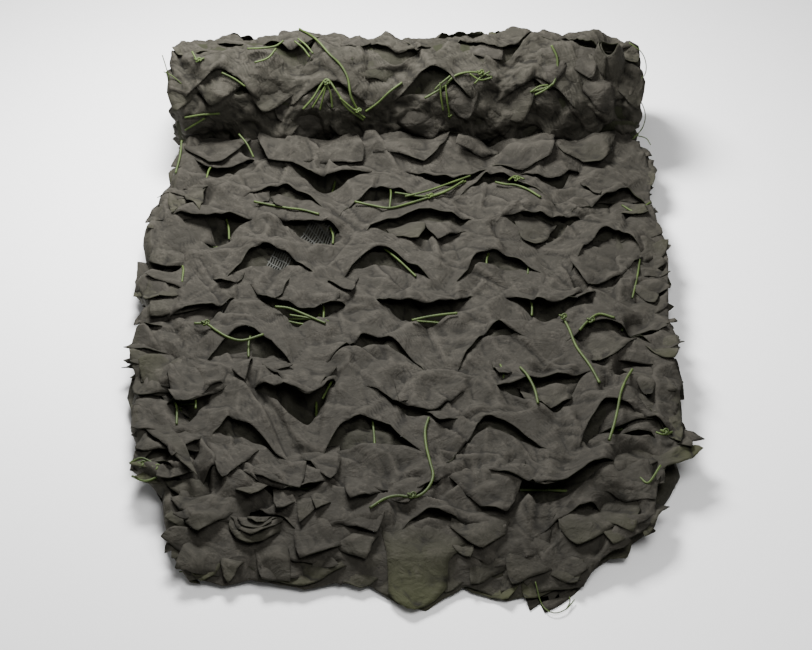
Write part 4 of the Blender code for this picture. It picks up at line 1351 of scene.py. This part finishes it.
# ---- The roll ----------------------------------------------------------------------
ROLL_LINES = (0.262, 0.190, 0.122, 0.044, -0.020, -0.085, -0.140)
ROLL_BACK = 0.300            # length around the roll from its front to the seam underneath
ROLL_FRONT = -0.178
ROLL_WAVE = 0.021
ROLL_FOLDS = (Fold(0.070, 0.40), Fold(0.036, -0.40), Fold(0.020, 0.32), Fold(0.013, -0.22))
ROLL_TOP = 0.125             # length around to the top, where edges stand up less
ROLL_END_DROP = 6 * MM       # how far the outer ply sinks at the roll's ends
ROLL_END_RAG = 9 * MM
ROLL_SEED = 9.0              # of the folds that all the roll's plies share
ROLL_UNDER_DEPTH = 7 * MM


def roll_radius(x, angle):
    """Lumpy outer radius of the roll."""
    lumps = 3.5 * MM * np.sin(23 * x + 2 * angle) + 2.5 * MM * np.sin(41 * x - 3 * angle)
    swell = 2.0 * MM * np.sin(63 * x + 5 * angle + 1.0)
    taper = 7 * MM * (np.abs(x) / ROLL_HALF) ** 5
    return ROLL_RADIUS + lumps + swell - taper


def roll_place(x, around, offset):
    """A point on the roll from its length around it; returns places and outward ways."""
    angle = around / ROLL_RADIUS
    radius = roll_radius(x, angle) + offset
    y = ROLL_Y - radius * np.cos(angle)
    z = np.maximum(ROLL_AXIS_Z + radius * np.sin(angle), LOWEST)
    outward = np.stack([0 * x, -np.cos(angle), np.sin(angle)], axis=-1)
    return np.stack([x, y, z], axis=-1), outward


def roll_cuts(shift):
    """Cuts of one ply around the roll, shifted along it by some columns."""
    xs = (2 * ACROSS - 1) * (ROLL_HALF - 3 * MM)
    cuts = [plain_cut(xs, np.full(xs.shape, ROLL_BACK))]
    for number, around in enumerate(ROLL_LINES):
        phase = 1.3 * number + shift
        ys = around + ROLL_WAVE * pitch_wave(phase)
        ys += 7 * MM * np.sin(19 * xs + 2.3 * number)
        gaps = []
        side = 0 if number % 2 else HALF_PITCH
        standing = min(1, 0.3 + abs(around - ROLL_TOP) / 0.08)
        for turn in range(8):
            column = round(PITCH_COLUMNS * turn + side - phase)
            if GAP_REACH <= column <= COLUMNS - GAP_REACH:
                size = 20 + 11 * math.sin(2.9 * turn + 1.9 * number)
                lift = (6 + 3 * math.sin(4.1 * turn + number)) * standing
                gaps.append(even_gap(column, size, lift))
        cuts.append(open_cut(xs, ys, gaps))
    cuts.append(plain_cut(xs, np.full(xs.shape, ROLL_FRONT)))
    return cuts


def shape_roll(x, y, offset, curl, tree):
    creases = random_creases(23, ROLL_CREASES, (-310, -150), (290, 290))
    h = offset + folded(x, y, ROLL_FOLDS, ROLL_SEED) + crease_steps(x, y, creases)
    h += 1.6 * curl * curl_height(x, y, 6.0)
    ends = np.clip((np.abs(x) / ROLL_HALF - 0.93) / 0.07, 0, 1)
    h -= ROLL_END_DROP * ends ** 2
    jagged = unevenness(0.0, y / 0.020, 3.0 + np.copysign(1, x))
    x = x + ROLL_END_RAG * jagged * (np.abs(x) / ROLL_HALF) ** 8
    points, outward = roll_place(x, y, h)
    points = meet_ties(points, outward, tree)
    return points, np.full(x.shape, 0.05)


def shape_roll_under(x, y, offset, curl):
    """The ply just under the roll's outer one."""
    h = 0.6 * offset + folded(x, y, ROLL_FOLDS[:2], ROLL_SEED) - ROLL_UNDER_DEPTH
    points, _ = roll_place(0.985 * x, y, h)
    return points, np.full(x.shape, 0.15)


def add_roll_leaves(maker):
    for number, leaf in enumerate(ROLL_LEAVES):
        around = [1000 * math.radians(angle) * ROLL_RADIUS for angle in (leaf.angle, leaf.tip_angle)]
        flat = Leaf(leaf.x, around[0], -5, leaf.tip_x, around[1], leaf.rise, leaf.width, leaf.bow,
                    leaf.round, leaf.green)
        x, y, rise, green = leaf_sheet(flat, 11 + 0.9 * number)
        rise = rise + folded(x, y, ROLL_FOLDS[:1], ROLL_SEED)
        add_leaf(maker, roll_place(x, y, rise)[0], green)


TUBE_BASE = Vector((0.266, 0.366, 0.123))
TUBE_AXIS = Vector((-0.10, -0.12, 0.98)).normalized()
TUBE_LENGTH = 0.046
TUBE_RADIUS = 0.021


def add_curled_tube(maker):
    """A leaf at the roll's right end, curled into a short tube that stands up."""
    side = TUBE_AXIS.cross(Vector((0, 1, 0))).normalized()
    front = side.cross(TUBE_AXIS)
    rows = []
    for up in np.linspace(0, 1, 12):
        row = []
        for angle in np.linspace(-1.2, 2 * math.pi + 0.4, 40):
            radius = TUBE_RADIUS * (1.06 - 0.035 * angle) * (1 + 0.06 * math.sin(3 * angle))
            radius *= 1 - 0.40 * up ** 3
            length = TUBE_LENGTH * up * (1 + 0.10 * math.sin(2 * angle + 1))
            across = side * math.cos(angle) + front * math.sin(angle)
            row.append(TUBE_BASE + TUBE_AXIS * float(length) + across * float(radius))
        rows.append(maker.add_points(row, 0.05))
    maker.add_grid(rows)


SPIRAL_TURNS = 8
SPIRAL_INNER = 0.012
SPIRAL_OUTER = 0.067
SPIRAL_STEPS = 52            # points in each turn
SPIRAL_ENDS = (0.0, 0.02, 0.05, 0.10, 0.25, 0.5, 0.75, 0.90, 0.95, 0.98, 1.0)


def add_spiral(maker):
    """The wound turns inside the roll, which show at its ends."""
    rows = []
    count = SPIRAL_TURNS * SPIRAL_STEPS
    for step in range(count + 1):
        share = step / count
        angle = 2 * math.pi * SPIRAL_TURNS * share
        radius = SPIRAL_INNER + (SPIRAL_OUTER - SPIRAL_INNER) * share
        radius *= 1 + 0.05 * math.sin(3 * angle + 9 * share) + 0.04 * math.sin(5 * angle)
        row = []
        for along in SPIRAL_ENDS:
            side = math.copysign(1, along - 0.5)
            ragged = noise.noise(Vector((angle * radius / 0.03, side, share * 3)))
            reach = ROLL_HALF - 9 * MM + 7 * MM * ragged - 10 * MM * (1 - share)
            x = (2 * along - 1) * reach
            crinkle = 1.6 * MM * noise.noise(Vector((x / 0.03, angle * radius / 0.02, 5.0)))
            y = ROLL_Y - (radius + crinkle) * math.cos(angle)
            z = ROLL_AXIS_Z + (radius + crinkle) * math.sin(angle)
            row.append((x, y, z))
        rows.append(maker.add_points(row, 0.1))
    maker.add_grid(rows)


# ---- Operators ---------------------------------------------------------------------
CAMERA_PLACE = (0.0, -2.0870301, 1.6266674)
CAMERA_ELEVATION = 38.0
CAMERA_LENS = 97.54          # millimetres, on a sensor 36 mm wide


class NET_OT_camera(bpy.types.Operator):
    """Set up the camera at the photograph's viewing angle"""
    bl_idname = "net.camera"
    bl_label = "Camera"

    def execute(self, context):
        lens = bpy.data.cameras.new("camera")
        lens.lens = CAMERA_LENS
        lens.sensor_width = 36.0
        camera = bpy.data.objects.new("camera", lens)
        camera.location = CAMERA_PLACE
        camera.rotation_euler = (math.radians(90 - CAMERA_ELEVATION), 0.0, 0.0)
        context.scene.collection.objects.link(camera)
        context.scene.camera = camera
        return {"FINISHED"}


class NET_OT_ties(bpy.types.Operator):
    """Lay the free ties of twine on the cloth"""
    bl_idname = "net.ties"
    bl_label = "Ties"

    def execute(self, context):
        for name, (path, length) in tie_paths().items():
            maker = MeshMaker()
            add_twine(maker, path, TWINE / 2)
            piece = maker.make(name + "_twine", laid_twine())
            ride_and_slot(piece, "twine", name)
            tuple(path[0])
            [tuple(p) for p in path]
        return {"FINISHED"}


class NET_OT_top_cloth(bpy.types.Operator):
    """Build the top layer of incised cloth"""
    bl_idname = "net.top_cloth"
    bl_label = "Top layer"

    def execute(self, context):
        maker = MeshMaker()
        tree = tie_tree()
        creases = all_creases()

        def shaped(x, y, offset, curl):
            return shape_top(x, y, offset, curl, tree, creases)

        left, _ = add_slit_sheet(maker, top_cuts(), shaped, sizes().cell)
        add_turn(maker, left, -1, 0.42)
        piece = add_cloth(maker, "garnish_top", LAID, "loose_end")
        return {"FINISHED"}


class NET_OT_leaves(bpy.types.Operator):
    """Build the leaves of cloth on and around the top layer"""
    bl_idname = "net.leaves"
    bl_label = "Leaves"

    def execute(self, context):
        maker = MeshMaker()
        for number, leaf in enumerate(LEAVES + ragged_leaves()):
            add_top_leaf(maker, leaf, 0.7 * number)
        piece = add_cloth(maker, "garnish_leaves", LAID)
        return {"FINISHED"}


class NET_OT_lower_cloth(bpy.types.Operator):
    """Build the layers of cloth folded away under the top layer"""
    bl_idname = "net.lower_cloth"
    bl_label = "Lower layers"

    def execute(self, context):
        maker = MeshMaker()
        add_tucked_layer(maker, all_creases())
        piece = add_cloth(maker, "garnish_tucked", PAINTED_SHADE_PLIES, "loose_end")
        for layer in LOWER_LAYERS:
            maker = MeshMaker()
            _, right = add_lower_layer(maker, layer)
            if layer.name == "garnish_middle":
                add_turn(maker, right, 1, 0.10)
            piece = add_cloth(maker, layer.name, PAINTED_SHADE_PLIES, "loose_end")
        return {"FINISHED"}


class NET_OT_roll(bpy.types.Operator):
    """Build the rolled part of the net"""
    bl_idname = "net.roll"
    bl_label = "Roll"

    def execute(self, context):
        tree = tie_tree()

        def shaped(x, y, offset, curl):
            return shape_roll(x, y, offset, curl, tree)

        maker = MeshMaker()
        add_slit_sheet(maker, roll_cuts(0.0), shaped, sizes().cell)
        outer = add_cloth(maker, "garnish_roll", CRUSHED, "rolled_net")

        maker = MeshMaker()
        add_slit_sheet(maker, roll_cuts(5.0), shape_roll_under, HIDDEN_CELLS * sizes().cell)
        under = add_cloth(maker, "garnish_roll_under", PAINTED_SHADE_PLIES, "rolled_net")

        maker = MeshMaker()
        add_roll_leaves(maker)
        add_curled_tube(maker)
        leaves = add_cloth(maker, "garnish_roll_leaves", CRUSHED)

        maker = MeshMaker()
        add_spiral(maker)
        wound = add_cloth(maker, "garnish_wound", LAID, "rolled_net")
        return {"FINISHED"}


NET_MESH = 0.050             # strand to strand
NET_ACROSS = 10
NET_ALONG = 12
NET_BACK_Y = 0.278
STRAND_RADIUS = 0.42 * TWINE
THREAD_RADIUS = 0.22 * TWINE
KNOT_RADIUS = 0.36 * TWINE
KNOT_SIZE = 1.5 * MM


def net_place(across, along):
    x = NET_MESH * (across - NET_ACROSS / 2)
    y = NET_BACK_Y - NET_MESH * along
    x += float(crumple(np.array(y), np.array(x), 14 * MM))
    y += float(crumple(np.array(x + 0.4), np.array(y), 14 * MM))
    z = float(middle_height(np.array(x), np.array(y))) + 5 * MM
    return Vector((x, y, z)) / MM


def trefoil(centre, size):
    """Closed path of a simple overhand knot."""
    path = []
    for step in range(30):
        t = 2 * math.pi * step / 29
        path.append(centre + size * Vector((math.sin(t) + 2 * math.sin(2 * t),
                                            math.cos(t) - 2 * math.cos(2 * t),
                                            -0.8 * math.sin(3 * t))))
    return path


class NET_OT_carrier_net(bpy.types.Operator):
    """Build the knotted carrier net and its strands in the gaps"""
    bl_idname = "net.carrier_net"
    bl_label = "Carrier net"

    def execute(self, context):
        maker = MeshMaker()
        across = range(NET_ACROSS + 1)
        along = range(NET_ALONG + 1)
        rows = [[net_place(i, k) for i in across] for k in along]
        columns = [[net_place(i, k) for k in along] for i in across]
        for routes, step, radius in (
                (rows + columns, 2 * TWINE_STEP, TWINE / 2),
                (STRANDS, TWINE_STEP, STRAND_RADIUS),
                (THREADS, TWINE_STEP, THREAD_RADIUS)):
            for route in routes:
                add_twine(maker, even_spacing(smooth_curve(route), step)[0], radius)
        for place in KNOTS:
            add_twine(maker, trefoil(Vector(place) * MM, KNOT_SIZE), KNOT_RADIUS)
        piece = maker.make("carrier_net_twine", laid_twine())
        ride_and_slot(piece, "twine", "carrier_net")
        return {"FINISHED"}


class NET_OT_ladder_mesh(bpy.types.Operator):
    """Build the patches of ladder mesh in the gaps"""
    bl_idname = "net.ladder_mesh"
    bl_label = "Ladder mesh"

    def execute(self, context):
        creases = all_creases()
        maker = MeshMaker()
        for patch in LADDERS:
            add_ladder(maker, patch, creases)
        piece = maker.make("ladder_mesh", knitted_mesh())
        ride_and_slot(piece, "twine")
        return {"FINISHED"}


FLOOR_SIZE = 9.0
WORLD_STRENGTH = 0.24
Lamp = namedtuple("Lamp", "name place aim size power")
LAMPS = (
    Lamp("key", (-0.22, 0.45, 0.87), (0.0, 0.10, 0.0), 0.38, 39.0),
    Lamp("front_fill", (0.4, -1.0, 1.8), (0.0, 0.35, 0.0), 0.9, 30.0),
)


def add_lamp(lamp):
    """An area lamp that points at its aim."""
    light = bpy.data.lights.new(lamp.name, "AREA")
    light.size = lamp.size
    light.energy = lamp.power
    made = bpy.data.objects.new(lamp.name, light)
    made.location = lamp.place
    aim = Vector(lamp.aim) - Vector(lamp.place)
    made.rotation_euler = aim.to_track_quat("-Z", "Y").to_euler()
    bpy.context.scene.collection.objects.link(made)


class NET_OT_stage(bpy.types.Operator):
    """Lay the floor and set up soft studio light"""
    bl_idname = "net.stage"
    bl_label = "Stage"

    def execute(self, context):
        bpy.ops.object.select_all(action="DESELECT")
        bpy.ops.mesh.primitive_plane_add(size=FLOOR_SIZE, location=(0.0, 0.6, 0.0))
        floor = context.active_object
        floor.name = "floor"
        bpy.ops.object.transform_apply(location=True)
        floor.data.materials.append(studio_paper()[0])
        for lamp in LAMPS:
            add_lamp(lamp)
        world = bpy.data.worlds.new("studio")
        world.use_nodes = True
        sky = world.node_tree.nodes["Background"]
        sky.inputs["Color"].default_value = (1, 1, 1, 1)
        sky.inputs["Strength"].default_value = WORLD_STRENGTH
        context.scene.world = world
        return {"FINISHED"}


class NET_PT_panel(bpy.types.Panel):
    """Sidebar panel that lists the net's pieces and settings"""
    bl_idname = "NET_PT_panel"
    bl_label = "Camouflage net"
    bl_space_type = "VIEW_3D"
    bl_region_type = "UI"
    bl_category = "Net"

    def draw(self, context):
        for group in (context.scene.net_sizes, context.scene.net_colours):
            for name in group.bl_rna.properties.keys():
                if name not in ("rna_type", "name"):
                    self.layout.prop(group, name)
        for operator in OPERATORS:
            self.layout.operator(operator.bl_idname)


OPERATORS = (
    NET_OT_camera, NET_OT_ties, NET_OT_top_cloth, NET_OT_leaves, NET_OT_lower_cloth,
    NET_OT_roll, NET_OT_carrier_net, NET_OT_ladder_mesh, NET_OT_stage,
)
CLASSES = (NetSizes, NetColours, *OPERATORS, NET_PT_panel)


def register():
    for item in CLASSES:
        bpy.utils.register_class(item)
    bpy.types.Scene.net_sizes = bpy.props.PointerProperty(type=NetSizes)
    bpy.types.Scene.net_colours = bpy.props.PointerProperty(type=NetColours)


def unregister():
    del bpy.types.Scene.net_colours
    del bpy.types.Scene.net_sizes
    for item in reversed(CLASSES):
        bpy.utils.unregister_class(item)


def main():
    register()
    bpy.ops.net.camera()
    bpy.ops.net.ties()
    bpy.ops.net.top_cloth()
    bpy.ops.net.leaves()
    bpy.ops.net.lower_cloth()
    bpy.ops.net.roll()
    bpy.ops.net.carrier_net()
    bpy.ops.net.ladder_mesh()
    bpy.ops.net.stage()


if __name__ == "__main__":
    main()
